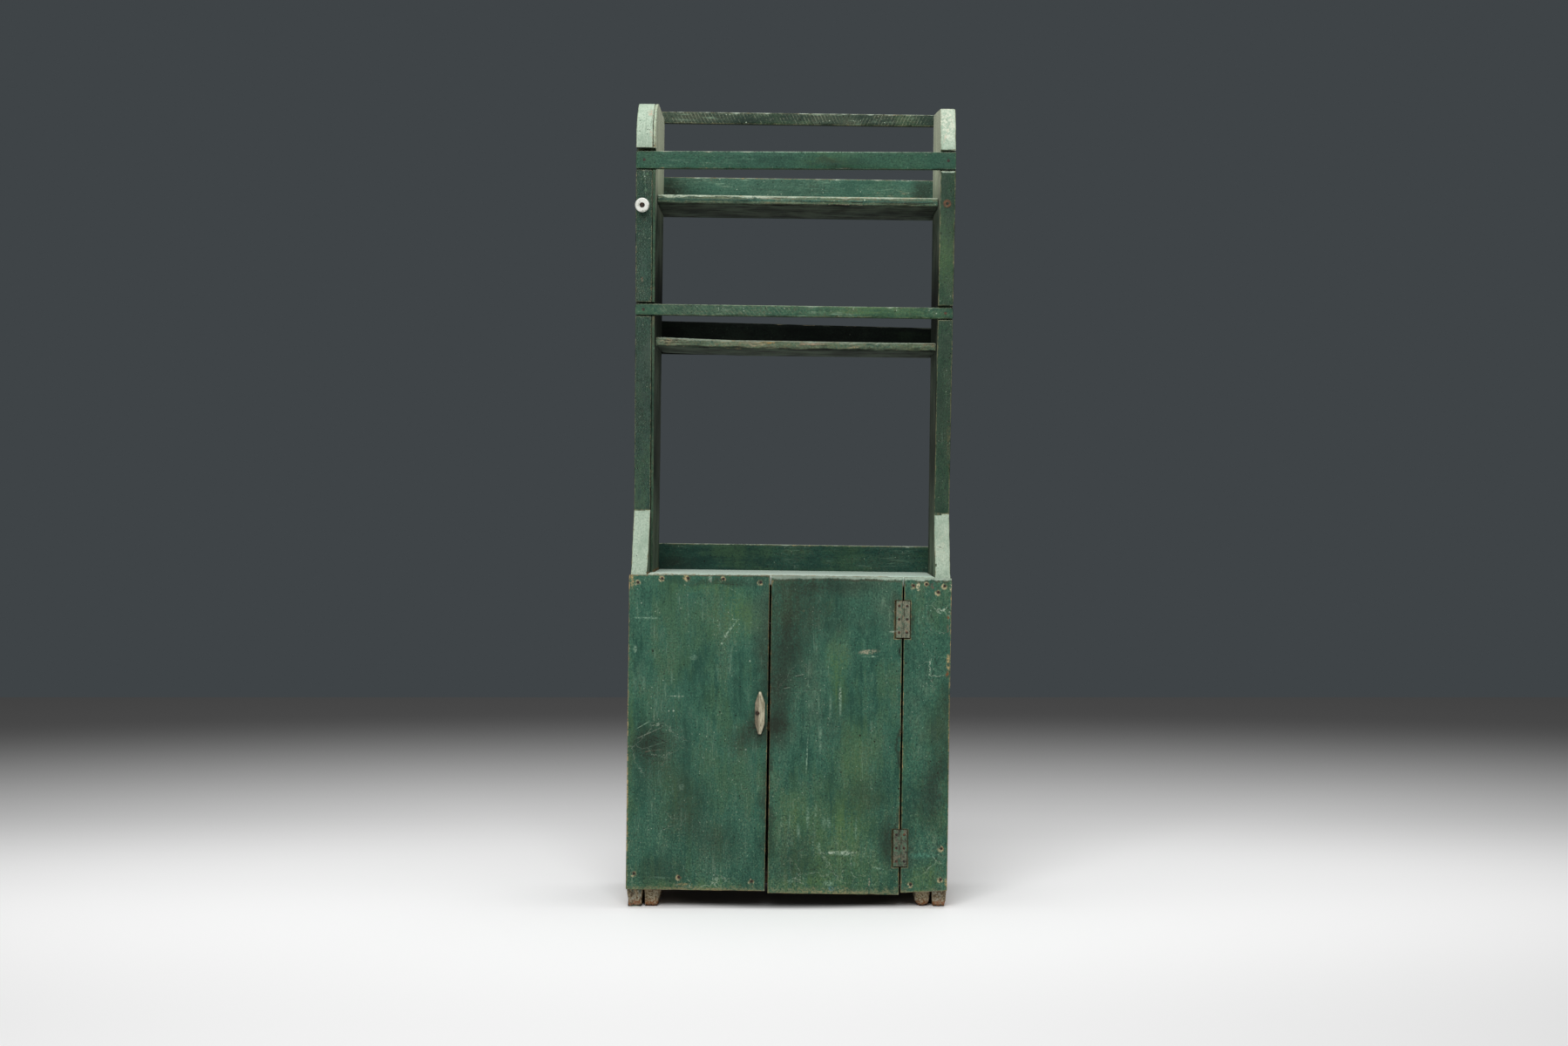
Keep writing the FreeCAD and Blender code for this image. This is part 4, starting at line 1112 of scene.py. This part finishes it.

# %% [markdown]
# ## The two tall sides
# Each side is one plank. Its narrow front edge is what shows most: green where it stands upright,
# and a pale mint where it slopes and along its top: sun-faded paint with the light from above
# painted into it. The outside is plain worn paint and the inside a thin grey wash, painted pale
# near the top and dark under each shelf as painted light and painted shade.

# %% Paint of the sides
UPRIGHT_FACE, FACET_FACE = 30, 20  # how far back the middle of a mark lies, in mm
LEFT_GREENS = (22, 52, 41), (40, 76, 60), (70, 112, 88)
washer_place = sum(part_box("washer_right_upright"), Vector()) / 2
upright_left = old_paint(
    "left upright paint", "z", LEFT_GREENS, seed=13.0, gloss=0.5, wear=0.22, crackle=1.0, rough=0.46,
    foot=0.05, dust=0.7, nails=left_heads,
    scuffs=marks((-336, 1373, 4, 7, 0, 1.2, tone(150, 120, 100)), back=FACET_FACE),
    grime_and_shade=areas((-336, 1100, 60, 260, 0.45), back=FACET_FACE, deep=80),
)
upright_right = old_paint(
    "right upright paint", "z", ((18, 48, 33), (32, 67, 46), (56, 98, 65)), seed=17.0, gloss=0.35,
    wear=0.27, crackle=0.4, rough=0.52, foot=0.05, dust=0.6, nails=right_heads,
    scuffs=[
        (washer_place, MM * Vector((13, 60, 12)), 0.0, 0.9, tone(104, 72, 44)),
        (washer_place, MM * Vector((5, 60, 5)), 0.0, 3.0, BLACK),
        *marks((346, 1000, 5, 120, 0, 0.8, BARE), (346, 880, 4, 60, 0, 0.9, tone(170, 120, 70)),
               back=FACET_FACE),
    ],
    grime_and_shade=areas((333, 1080, 60, 240, 0.4), back=FACET_FACE, deep=80),
    yellows=areas((333, 1440, 60, 120, 0.6), back=UPRIGHT_FACE, deep=90),
)
# faded mint paint with the light from above painted into it, for the slopes and tops of the sides
bleached_and_lit = old_paint(
    "bleached mint paint", "z", ((140, 162, 142), (176, 194, 174), (202, 214, 196)), seed=19.0,
    wear=0.2, rough=0.75, bare=0.2, dust_and_top_light=0.0, mood=0.15,
    scuffs=marks(
        (336, 905, 16, 12, 0, 1.2, tone(150, 148, 120)), (334, 838, 12, 1.6, 35, 1.6, tone(70, 80, 66)),
        (331, 790, 14, 1.4, 20, 1.4, tone(90, 98, 80)), (334, 866, 1.6, 22, -24, 1.4, tone(84, 90, 74)),
        (0, 914, 900, 6, 0, 1.5, tone(136, 136, 112)), (0, 919, 900, 2.5, 0, 2.0, tone(60, 66, 52)),
        (-318, 1722, 1.6, 26, 10, 1.2, tone(96, 110, 92)), (-308, 1722, 2.6, 2, 0, 3.0, BLACK),
        (-326, 1700, 2, 1.6, 0, 3.0, BLACK), (-327, 1690, 2, 1.6, 0, 3.0, BLACK),
        (-312, 1664, 1.6, 2, 0, 3.0, BLACK), (342, 1730, 1.4, 30, -8, 1.2, tone(110, 112, 92)),
        (-330, 1700, 3, 60, 0, 0.8, tone(120, 140, 120)), (-322, 1740, 8, 14, 0, 0.9, tone(190, 160, 140)),
        (-318, 1690, 7, 12, 0, 0.9, tone(188, 160, 140)), (330, 1700, 3, 34, 20, 0.8, tone(190, 160, 140)),
        (-345, 890, 10, 30, 0, 0.6, tone(206, 206, 180)), (334, 1740, 30, 90, 0, 0.8, tone(224, 226, 206)),
        (334, 840, 30, 110, 0, 0.8, tone(206, 208, 186)), back=FACET_FACE,
    ),
)
# pale near the top of the hutch and dark under each shelf: painted light and painted shade
hutch_wash = bare_pine(
    "thin grey green wash", "z", ((26, 34, 25), (50, 62, 47), (84, 98, 78)), seed=23.0, grey=0.9,
    wash=0.55, coarse=2.5, painted_light_patches=areas((0, 1740, 4000, 230, 0.95), back=60, deep=900),
    grime_and_shade=areas((0, 1330, 4000, 230, 0.95), (0, 1010, 4000, 330, 0.75), back=160, deep=1600),
)
lining_paint = old_paint(
    "lining paint", "z", LEFT_GREENS, seed=15.0, wear=0.05, dust=0.3, edge_tone=WEATHER,
    grime_and_shade=areas((-310, 1000, 60, 420, 0.5), back=FACET_FACE, deep=80),
)
print("the washer sits", round(washer_place.z, 3), "m up")

# %% [markdown]
# ## Shaping the sides
# A plank's face finds its finish by the way it looks and how high it is. The feet were sawn off
# along the floor, which is not square to a leaning plank, so the blank is first drawn out below the
# floor and then cut by it. Thin boards have less to lose, so the lining is aged more gently.

# %% The sides
FOOT_ENDS = 0.02  # points below this height belong to the foot's end, in metres
SPARE = -0.03  # how far down the foot is drawn out before it is sawn off
COUNTER_TOP, NOTCH_TOP = 727, 1660  # heights in the square workshop, in mm
SLOPED = 0.3  # a face that looks up by more than this takes the faded mint with painted top light
PAINTED, FACET, WASHED, BARE_INSIDE = range(4)  # the order of a side plank's finishes


def side_faces(inner):
    """Picks the finish of a face of a side plank; inner is the way to the middle, 1 or -1."""
    def pick(centre, normal):
        if normal.x * inner > 0.7:
            return WASHED if centre.z > COUNTER_TOP else BARE_INSIDE
        round_top = centre.z > NOTCH_TOP and abs(normal.x) < 0.6
        return FACET if normal.y < 0.5 and (normal.z > SLOPED or round_top) else PAINTED
    return pick


def saw_off(bm):
    """Saws the foot of a standing board off along the floor."""
    for vert in bm.verts:
        if vert.co.z < FOOT_ENDS:
            vert.co.z = SPARE
    down = lay_square.to_3x3() @ Vector((0, 0, -1))
    cut = bmesh.ops.bisect_plane(
        bm, geom=bm.verts[:] + bm.edges[:] + bm.faces[:], dist=1e-6,
        plane_co=lay_square @ Vector((0, 0, 0)), plane_no=down, clear_outer=True,
    )["geom_cut"]
    bmesh.ops.edgeloop_fill(bm, edges=[e for e in cut if isinstance(e, bmesh.types.BMEdge)])
    bmesh.ops.recalc_face_normals(bm, faces=bm.faces)


TALL = (0.012, 0.012, 0.014)
for node, paint, inner, side in (
    ("side_board_left", upright_left, 1, -1), ("side_board_right", upright_right, -1, 1),
):
    board(node, "x", [paint, bleached_and_lit, hutch_wash, inside_pine], side_faces(inner), side=side,
          shape=saw_off, pitches=TALL, seed=side * 3.7, rot=0.006)
board("side_lining_left", "x", [lining_paint, bleached_and_lit, hutch_wash, inside_pine], side_faces(1),
      radius=0.0005, pitches=TALL, seed=6.6, knock=0.002)

# %% [markdown]
# ## Paint of the shelves and the counter
# The counter is pale like the slopes: faded paint with the light from above painted into it. The
# two open shelves are old boards with badly weathered front edges: paint in the hollows, bare
# yellow wood and long splits on the ridges, and an underside painted dark as shade.

# %% Shelf and counter paint
SHELF_FACE = 60  # how far back the shelves' front edges are, in mm
# the counter's pale mint is faded paint with painted top light
counter_paint = old_paint(
    "counter paint", "x", ((186, 214, 196), (220, 238, 224), (238, 246, 236)), seed=29.0, wear=0.35,
    dust=0.2, rough=0.72, bare=0.15, dust_and_top_light=0.0, mood=0.1,
)
shelf_paint = old_paint(
    "top shelf paint", "x", ((26, 58, 49), (56, 96, 81), (112, 150, 130)), seed=31.0, wear=0.12,
    # the dark band low on the front edge is painted shade where it curves under
    bare=0.4, dust=0.9, dust_and_top_light=1.0, grime_and_shade=areas((0, 1527, 600, 9, 0.8), back=34),
    scuffs=marks(
        (90, 1546, 90, 3, 0, 1.0, tone(176, 160, 138)), (-60, 1540, 50, 2, 0, 1.0, tone(150, 140, 110)),
        (180, 1536, 60, 1.4, 0, 2.0, BLACK), (-180, 1538, 50, 1.2, 1, 2.0, BLACK),
        back=SHELF_FACE, deep=30,
    ),
)
low_shelf_paint = old_paint(
    "middle shelf paint", "x", ((32, 58, 47), (72, 102, 86), (136, 162, 140)), seed=37.0, wear=0.12,
    # the dark band low on the front edge is painted shade where it curves under
    bare=0.55, dust=0.9, dust_and_top_light=1.0, grime_and_shade=areas((0, 1225, 600, 8, 0.7), back=34),
    scuffs=marks(
        (-262, 1243, 46, 1.5, -2, 3.0, BLACK), (-250, 1238, 30, 1.2, 3, 2.0, BLACK),
        (-60, 1240, 34, 4, 0, 1.0, tone(168, 128, 58)), (40, 1238, 40, 4, 0, 0.9, tone(168, 142, 120)),
        back=SHELF_FACE, deep=30,
    ),
)
# the near-black underside is painted shade, with splits in it
shelf_under = bare_pine("dark underside", "x", ((8, 9, 6), (26, 31, 22), (54, 60, 46)), seed=41.0,
                        grey=0.1, wash=0.2, splits=0.9, coarse=6.0)
dusty_top = old_paint(
    "dusty shelf top", "x", ((92, 116, 98), (126, 146, 124), (150, 166, 142)), seed=43.0,
    bare=0.3, dust=0.8, rough=0.75, mood=0.3,
)
print("the shelves have three finishes each: front, underside and top")

# %% [markdown]
# ## Shelves, counter and floor
# A shelf's front edge is rounded over before the board is aged, because it was worn round long
# ago. The boards inside the cupboard are bare; the two bearers stand on the floor and are rotten.


# %% The level boards
def shelf_faces(centre, normal):
    """The front and ends of a shelf, its underside, or its top."""
    if normal.z < -0.75:
        return 1
    return 2 if normal.z > 0.85 else 0


def round_front(radius_top, radius_low):
    """Rounds the two long front edges of a shelf."""
    def shape(bm):
        front = min(v.co.y for v in bm.verts)
        middle = sum(v.co.z for v in bm.verts) / len(bm.verts)
        for radius, upper in ((radius_top, True), (radius_low, False)):
            edges = [
                e for e in bm.edges
                if all(abs(v.co.y - front) < 1e-4 for v in e.verts)
                and abs(e.verts[0].co.x - e.verts[1].co.x) > 0.05
                and (sum(v.co.z for v in e.verts) / 2 > middle) == upper
            ]
            soften(bm, radius, edges, 4)
    return shape


LONG = (0.012, 0.012, 0.008)
board("counter_board", "z", [counter_paint, inside_pine, counter_paint], shelf_faces, seed=11.3,
      pitches=LONG, grain="x")
board("top_shelf", "z", [shelf_paint, shelf_under, dusty_top], shelf_faces, seed=12.9, pitches=LONG,
      grain="x", shape=round_front(0.009, 0.008), hollow=0.0012, knock=0.005)
board("middle_shelf", "y", [low_shelf_paint, shelf_under, dusty_top], shelf_faces, seed=14.1,
      pitches=LONG, grain="x", side=-1, shape=round_front(0.008, 0.008), hollow=0.0014, knock=0.006)
shelf_pine = bare_pine("pine shelf", "x", seed=47.0, grey=0.3)
# painted nearly black: shade inside the cupboard
floor_pine = bare_pine("floor board painted dark as shade", "x", ((28, 22, 16), (58, 46, 33), (88, 72, 52)), seed=48.0,
                       grey=0.1)
bearer_pine = bare_pine("rotten bearer", "y", seed=53.0, grey=0.5, foot=0.06)
for node, pine in (("cupboard_floor", floor_pine), ("inner_shelf", shelf_pine)):
    board(node, "z", [pine], seed=15.7, pitches=(0.02, 0.02, 0.012), grain="x")
for side in ("left", "right"):
    board("shelf_cleat_" + side, "y", [shelf_pine], seed=16.4, pitches=(0.012, 0.03, 0.012), grain="y")
for side in ("left", "right"):
    board("floor_bearer_" + side, "y", [bearer_pine], seed=18.8, pitches=(0.005, 0.02, 0.005),
          grain="y", hollow=0.0016, knock=0.006, radius=0.002, rot=0.006)

# %% [markdown]
# ## Rails
# The front rails are let into the uprights and keep their paint better than anything else, but for
# a pale line along their top edges, partly rubbed paint and partly a painted highlight. The back
# rails were left as they came from the saw: its teeth still show as fine slanting lines, one way on
# one half of the board and the other way on the other.

# %% The rails
STEEP, SLANT = math.radians(27), math.radians(40)
BACK_FACE = 288  # how far back the back rails' fronts are, in mm
front_rail = old_paint(
    "front rail paint", "x", ((22, 56, 44), (37, 79, 62), (66, 110, 86)), seed=59.0, wear=0.05,
    dust=0.25, rough=0.55, dust_and_top_light=1.0, mood=0.4, yellows=areas((60, 1636, 90, 26, 0.6), back=2),
    grime_and_shade=areas((70, 1630, 60, 14, 0.5), back=2),
    # the pale line along the top edge is rubbed paint and a painted highlight
    scuffs=marks((0, 1655.2, 390, 2.6, 0.24, 2.0, tone(138, 164, 142)), back=2, deep=30),
)
middle_rail = old_paint(
    "middle rail paint", "x", ((32, 64, 50), (52, 88, 69), (88, 124, 94)), seed=61.0, wear=0.1,
    dust=0.9, sawn=0.2, yellows=areas((170, 1308, 180, 60, 0.7), back=30),
    saw=[(SLANT, at(-150, 34, 1308), MM * Vector((200, 80, 60)))],
    # the pale line along the top edge is rubbed paint and a painted highlight
    scuffs=marks((0, 1319.8, 390, 2.2, 0.75, 1.5, tone(128, 150, 122)), back=34, deep=30),
)
top_back_rail = old_paint(
    "top back rail paint", "x", ((24, 40, 32), (40, 60, 49), (70, 90, 74)), seed=67.0, wear=0.15,
    dust=0.8, dust_and_top_light=1.0,
    saw=[(STEEP, at(-110, BACK_FACE, 1776), MM * Vector((240, 80, 60))),
         (-STEEP, at(240, BACK_FACE, 1776), MM * Vector((140, 80, 60)))],
)
second_rail = old_paint(
    "second back rail paint", "x", ((38, 74, 62), (62, 102, 86), (98, 134, 114)), seed=71.0, wear=0.3,
    dust=0.9, bare=0.25, dust_and_top_light=1.0, mood=0.4,
    grime_and_shade=areas((-290, 1600, 60, 70, 0.8), (300, 1600, 50, 70, 0.7), back=BACK_FACE),
)
# its green is darkened to near black: painted shade under the top shelf
third_rail = old_paint(
    "third back rail paint", "x", ((2, 5, 3), (5, 10, 7), (13, 24, 17)), seed=73.0, wear=0.0,
    dust=0.0, dust_and_top_light=0.1, mood=0.1, edge_tone=GRIME_AND_SHADE, gloss=0.05,
)
backsplash_paint = old_paint(
    "backsplash paint", "x", ((16, 48, 41), (28, 68, 57), (54, 94, 80)), seed=79.0, wear=0.25,
    dust=0.4, dust_and_top_light=1.0, grime_and_shade=areas((-280, 740, 60, 30, 0.6), back=BACK_FACE),
)
back_grey = bare_pine("grey back of the boards", "x", ((74, 62, 46), (116, 100, 76), (150, 134, 106)),
                      seed=83.0, grey=0.85)
for node, paint, edge in (
    ("front_rail_top", front_rail, 0.0035), ("front_rail_middle", middle_rail, 0.006),
    ("back_rail_top", top_back_rail, 0.005), ("back_rail_second", second_rail, 0.005),
    ("back_rail_third", third_rail, 0.004), ("back_board_4", backsplash_paint, 0.004),
):
    board(node, "y", [paint, back_grey], painted_or_bare, seed=20 + 100 * edge,
          pitches=(0.010, 0.010, 0.007), grain="x", knock=edge)

# %% [markdown]
# ## The lower back boards
# They lie one above the other with a little room between them, as boards that swell must. A thin
# tongue on the top edge of each one keeps the light out. It is drawn out of a strip of that edge.

# %% The lower back boards
TONGUE_THICK, TONGUE_LONG = 0.006, 0.0026


def tongue(bm):
    """Draws a thin tongue out of a back board's top edge, so that no light shows over it."""
    low, high = corners(bm)
    middle = (low.y + high.y) / 2
    for place in (middle - TONGUE_THICK / 2, middle + TONGUE_THICK / 2):
        geom = bm.verts[:] + bm.edges[:] + bm.faces[:]
        bmesh.ops.bisect_plane(bm, geom=geom, dist=1e-6, plane_co=(0, place, 0), plane_no=(0, 1, 0))
    strip = [
        f for f in bm.faces
        if f.normal.z > 0.9 and abs(f.calc_center_median().y - middle) < TONGUE_THICK / 2
    ]
    drawn = bmesh.ops.extrude_face_region(bm, geom=strip)["geom"]
    up = [v for v in drawn if isinstance(v, bmesh.types.BMVert)]
    bmesh.ops.translate(bm, vec=(0, 0, TONGUE_LONG), verts=up)
    bmesh.ops.delete(bm, geom=strip, context="FACES_ONLY")
    print("tongue on a board up to", round(high.z, 4))


for index in range(3):
    board(f"back_board_{index + 1}", "y", [back_grey], seed=31.0 + index, pitches=(0.02, 0.012, 0.012),
          grain="x", radius=0.0007, hollow=0.0004, knock=0.0006, shape=tongue)

# %% [markdown]
# ## The turn button
# A scrap of pine whittled with a knife into a long lozenge with a ridge down its face, and held by
# one nail. One of the knife's flats is painted darker than the other, as dirt and painted shade.
# Its exact shape is good as it is, so only its finish is made.

# %% The turn button
FACET_SIDE = -1  # the facet that hangs lower when the button is across the door is darker: dirt and painted shade
RIDGE_OFF = 0.0017  # the ridge lies this far beside the middle
RIDGE_SOFT = 0.0005


def refinish(node, material):
    """Gives an exact part its finish."""
    nodes[node].data.materials.clear()
    nodes[node].data.materials.append(material)


whittled = Finish("whittled pine")
flecks = whittled.fibres(0.0016, 0.02, 4, 0.65, 1.0)
smear = whittled.cloud((0.02, 0.02, 0.03), 3, 0.6, 2.0)
patchy = whittled.mixed(flecks, smear, 0.6, 0.36, 0.56)
whittled.coat = whittled.tint(tone(134, 126, 102), tone(212, 204, 176), patchy)
whittled.lay(tone(62, 50, 36), whittled.step(flecks, 0.6, 0.74) * 0.8)
ridge = FACET_SIDE * (sum(corner.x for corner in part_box("turn_button")) / 2 - RIDGE_OFF)
# the lower facet is darkened: dirt, and painted shade
low_facet_dirt_and_shade = whittled.step(whittled.along("X") * FACET_SIDE, ridge - RIDGE_SOFT, ridge + RIDGE_SOFT)
whittled.lay(tone(88, 74, 56), low_facet_dirt_and_shade * (0.55 + 0.35 * whittled.step(smear, 0.4, 0.6)))
whittled.lay(BLACK, whittled.near(nail_heads("button_pivot_nail", "y", -1), 0.005, 0.009) * 0.6)
refinish("turn_button", whittled.done(0.62 + flecks * 0.2, flecks + smear * 0.4, 0.0008, 0.6))
print("the turn button's ridge is at", round(ridge * FACET_SIDE, 4), "m across")

# %% [markdown]
# ## Iron, steel and porcelain
# The nails are cut iron, rusted where the paint has gone. The hinges were painted over with the
# boards and show grey brown steel and rust through it. The knob is glazed porcelain, white where
# it is whole and grey where it is chipped. These parts keep their exact shape.


# %% Metal and porcelain
def rusted(name, tones, painted, seed, metal=0.5, rust=0.7, heads=()):
    """Old iron: a dark and a pale tone of bare metal, rust in patches, and what is left of the paint."""
    f = Finish(name)
    coarse = f.cloud((0.012,) * 3, 4, 0.65, seed)
    fine = f.cloud((0.0026,) * 3, 4, 0.7, seed + 2)
    f.coat = f.tint(*(tone(*shade) for shade in tones), f.mixed(fine, coarse, 0.5, 0.4, 0.6))
    f.lay(RUST, f.mixed(coarse, fine, 0.7, 0.52, 0.62) * rust)
    patches = f.cloud((0.007, 0.007, 0.016), 5, 0.7, seed + 4)
    kept = f.mixed(patches, fine, 0.8, 0.68 - 0.36 * painted, 0.73 - 0.36 * painted)
    f.lay(tone(74, 108, 84), kept * 0.8)
    pits = f.step(fine, 0.62, 0.7) * 0.5
    if heads:
        f.lay(tone(104, 84, 56), (1 - f.near(heads, 0.0022, 0.0032)) * 0.6)
        pits = pits.most(f.near(heads, 0.0018, 0.003) * 0.85)
    f.lay(tone(24, 19, 14), pits)
    f.feed(f.shader.inputs["Metallic"], (1 - kept) * metal)
    return f.done(0.55 + fine * 0.3, fine + coarse * 0.5 + kept * 0.6, 0.0005, 0.5)


GREY_STEEL, BROWN_STEEL = ((78, 84, 68), (140, 144, 122)), ((56, 58, 46), (116, 120, 100))
DARK_IRON, ORANGE_IRON = ((30, 25, 20), (62, 48, 36)), ((66, 46, 28), (106, 70, 40))
top_door_leaf = rusted("rubbed hinge leaf", GREY_STEEL, 0.55, 3.0, 0.2, 0.4)
top_stile_leaf = rusted("bare rusty hinge leaf", GREY_STEEL, 0.35, 5.0, 0.2, 0.55)
low_hinge = rusted("painted hinge", BROWN_STEEL, 0.5, 8.0, 0.2, 0.4)
screw_iron = rusted("dark screw iron", DARK_IRON, 0.1, 12.0, 0.2)
nail_iron = rusted("rusty nail iron", DARK_IRON, 0.05, 16.0, 0.1, 0.5)
front_iron = rusted("sunk rusty nails", DARK_IRON, 0.3, 16.0, 0.1, 0.5, fixed_heads + stile_heads)
painted_nail = rusted("painted nail heads", DARK_IRON, 0.8, 18.0, 0.1, 0.8)
washer_rust = rusted("orange rusty washer", ORANGE_IRON, 0.3, 21.0, 0.05, 0.2)
glaze = Finish("porcelain glaze", 0.16)
crumbs = glaze.cloud((0.004,) * 3, 4, 0.7, 5.0)
dirt = glaze.cloud((0.011,) * 3, 4, 0.6, 6.0)
glaze.coat = glaze.tint(tone(226, 228, 220), tone(176, 178, 166), glaze.step(dirt, 0.48, 0.66))
glaze.lay(tone(70, 64, 54), glaze.mixed(crumbs, dirt, 0.7, 0.57, 0.64))
porcelain = glaze.done(0.14 + glaze.step(crumbs, 0.5, 0.65) * 0.5, crumbs, 0.0004, 0.3)
own_finish = {
    "porcelain_knob": porcelain, "knob_screw": screw_iron, "nails_left_upright": painted_nail,
    "nails_fixed_board": front_iron, "nails_hinge_stile": front_iron,
    "washer_right_upright": washer_rust,
}
for node in nodes:
    if node in own_finish:
        refinish(node, own_finish[node])
    elif slot_of[node] == "nail_iron":
        refinish(node, nail_iron)
    elif slot_of[node] == "hinge_steel":
        top_leaf = top_door_leaf if "door" in node else top_stile_leaf
        leaf = top_leaf if "top" in node else low_hinge
        refinish(node, screw_iron if node.endswith(("screws", "pin")) else leaf)
print("finished", sum(made_pieces.values()), "faces on", len(made_pieces), "new pieces")

# %% [markdown]
# ## The floor
# A pale painted floor, which the camera sees as a pool of light that fades into the dark, with a
# painted shadow under the cupboard. The fading and the shadow are only for the eye: light that
# bounces finds an even pale floor, so the cupboard is lit the same from all sides.

# %% The floor
FLOOR_LOW, FLOOR_HIGH = tone(244, 244, 244), tone(248, 248, 248)
FLOOR_HALF, FLOOR_PLACE = (12, 6, 1), (0, -1.15, -0.0002)
POOL_MIDDLE, POOL_FULL, POOL_NONE = (0, -0.6, 0), 1.2, 4.9  # the pool of light, in metres
POOL_BRIGHT, POOL_FADE, POOL_WIDE = 1.08, 0.88, 0.7
SHADOW_MIDDLE, SHADOW_HALF, SHADOW_DARK = (0, 0.02, 0), (0.37, 0.2, 1), 0.72  # a painted shadow below the cupboard
floor_finish = Finish("studio floor", 0.6)
floor_finish.coat = floor_finish.tint(
    FLOOR_LOW, FLOOR_HIGH, floor_finish.cloud((0.4, 0.4, 0.4), 4, 0.5, 1.0))
floor_finish.feed(floor_finish.shader.inputs["Base Color"], floor_finish.coat)
squeezed = floor_finish.node(
    "ShaderNodeMapping", {}, {"Vector": floor_finish.place, "Scale": (POOL_WIDE, 1, 1)})
far = floor_finish.distance(squeezed, POOL_MIDDLE)
pool = POOL_BRIGHT - POOL_FADE * floor_finish.step(far, POOL_FULL, POOL_NONE)
back = floor_finish.along("Y")
near_side, far_side = floor_finish.step(back, -1.4, 0.0), floor_finish.step(back, 0.3, 1.3)
pool = pool * (0.88 + 0.28 * near_side - 0.16 * far_side)
pool = pool * (1 - SHADOW_DARK * floor_finish.blob(SHADOW_MIDDLE, SHADOW_HALF, soft=0.35))
shown = floor_finish.node("ShaderNodeCombineColor", {}, {0: pool, 1: pool, 2: pool})
shown = floor_finish.node("ShaderNodeBsdfDiffuse", {}, {"Color": shown})
plain = Wire(floor_finish, floor_finish.shader.outputs[0])
both = floor_finish.node("ShaderNodeMixShader", {}, {0: floor_finish.seen(), 1: plain, 2: shown})
floor_finish.feed(floor_finish.output.inputs[0], both)
bm = bmesh.new()
bmesh.ops.create_grid(bm, x_segments=8, y_segments=8, size=1.0)
bmesh.ops.scale(bm, vec=FLOOR_HALF, verts=bm.verts)
bmesh.ops.translate(bm, vec=FLOOR_PLACE, verts=bm.verts)
floor_mesh = bpy.data.meshes.new("studio_floor")
bm.to_mesh(floor_mesh)
bm.free()
floor_mesh.materials.append(floor_finish.material)
floor = bpy.data.objects.new("studio_floor", floor_mesh)
bpy.context.scene.collection.objects.link(floor)
print("the floor is", 2 * FLOOR_HALF[0], "by", 2 * FLOOR_HALF[1], "m")

# %% [markdown]
# ## Light and camera
# One broad soft lamp from the front and above, a weaker one overhead, and an even world. Slate
# grey stands behind, seen by the camera and by shiny things only, so it adds no light. The camera
# is level and shifted, so that upright boards stay upright.

# %% The studio
WORLD_LIGHT, SLATE = 0.26, tone(63, 68, 71)
world = bpy.data.worlds.new("studio")
bpy.context.scene.world = world
world.use_nodes = True
web = Web(world.node_tree)
even = web.node("ShaderNodeBackground", {}, {"Strength": WORLD_LIGHT})
behind = web.node("ShaderNodeBackground", {}, {"Color": SLATE})
blend = web.node("ShaderNodeMixShader", {}, {0: web.seen(), 1: even, 2: behind})
web.feed(web.tree.nodes.new("ShaderNodeOutputWorld").inputs[0], blend)


def softbox(name, place, aim, size, watts):
    """A rectangular lamp that looks at a place."""
    lamp = bpy.data.lights.new(name, "AREA")
    lamp.shape = "RECTANGLE"
    lamp.size, lamp.size_y = size
    lamp.energy = watts
    box = bpy.data.objects.new(name, lamp)
    bpy.context.scene.collection.objects.link(box)
    box.location = place
    box.rotation_euler = (Vector(aim) - Vector(place)).to_track_quat("-Z", "Y").to_euler()


softbox("front lamp", (-0.5, -3.6, 3.2), (0, 0, 0.9), (3.0, 2.2), 118)
softbox("top lamp", (0.1, -0.2, 3.9), (0, 0, 0.8), (2.4, 2.0), 46)

CAMERA_PLACE = (0.02566, -4.9065, 0.898)
CAMERA_SHIFT = -0.01234, -0.01668  # as shares of the frame's width
LENS, SENSOR = 50, 36  # in mm
camera_data = bpy.data.cameras.new("camera")
camera_data.lens, camera_data.sensor_width = LENS, SENSOR
camera_data.shift_x, camera_data.shift_y = CAMERA_SHIFT
camera = bpy.data.objects.new("camera", camera_data)
bpy.context.scene.collection.objects.link(camera)
camera.location = CAMERA_PLACE
camera.rotation_euler = (math.radians(90), 0, 0)
bpy.context.scene.camera = camera
bpy.context.scene.view_settings.view_transform = "Standard"
print("the camera stands", round(-CAMERA_PLACE[1], 2), "m in front")
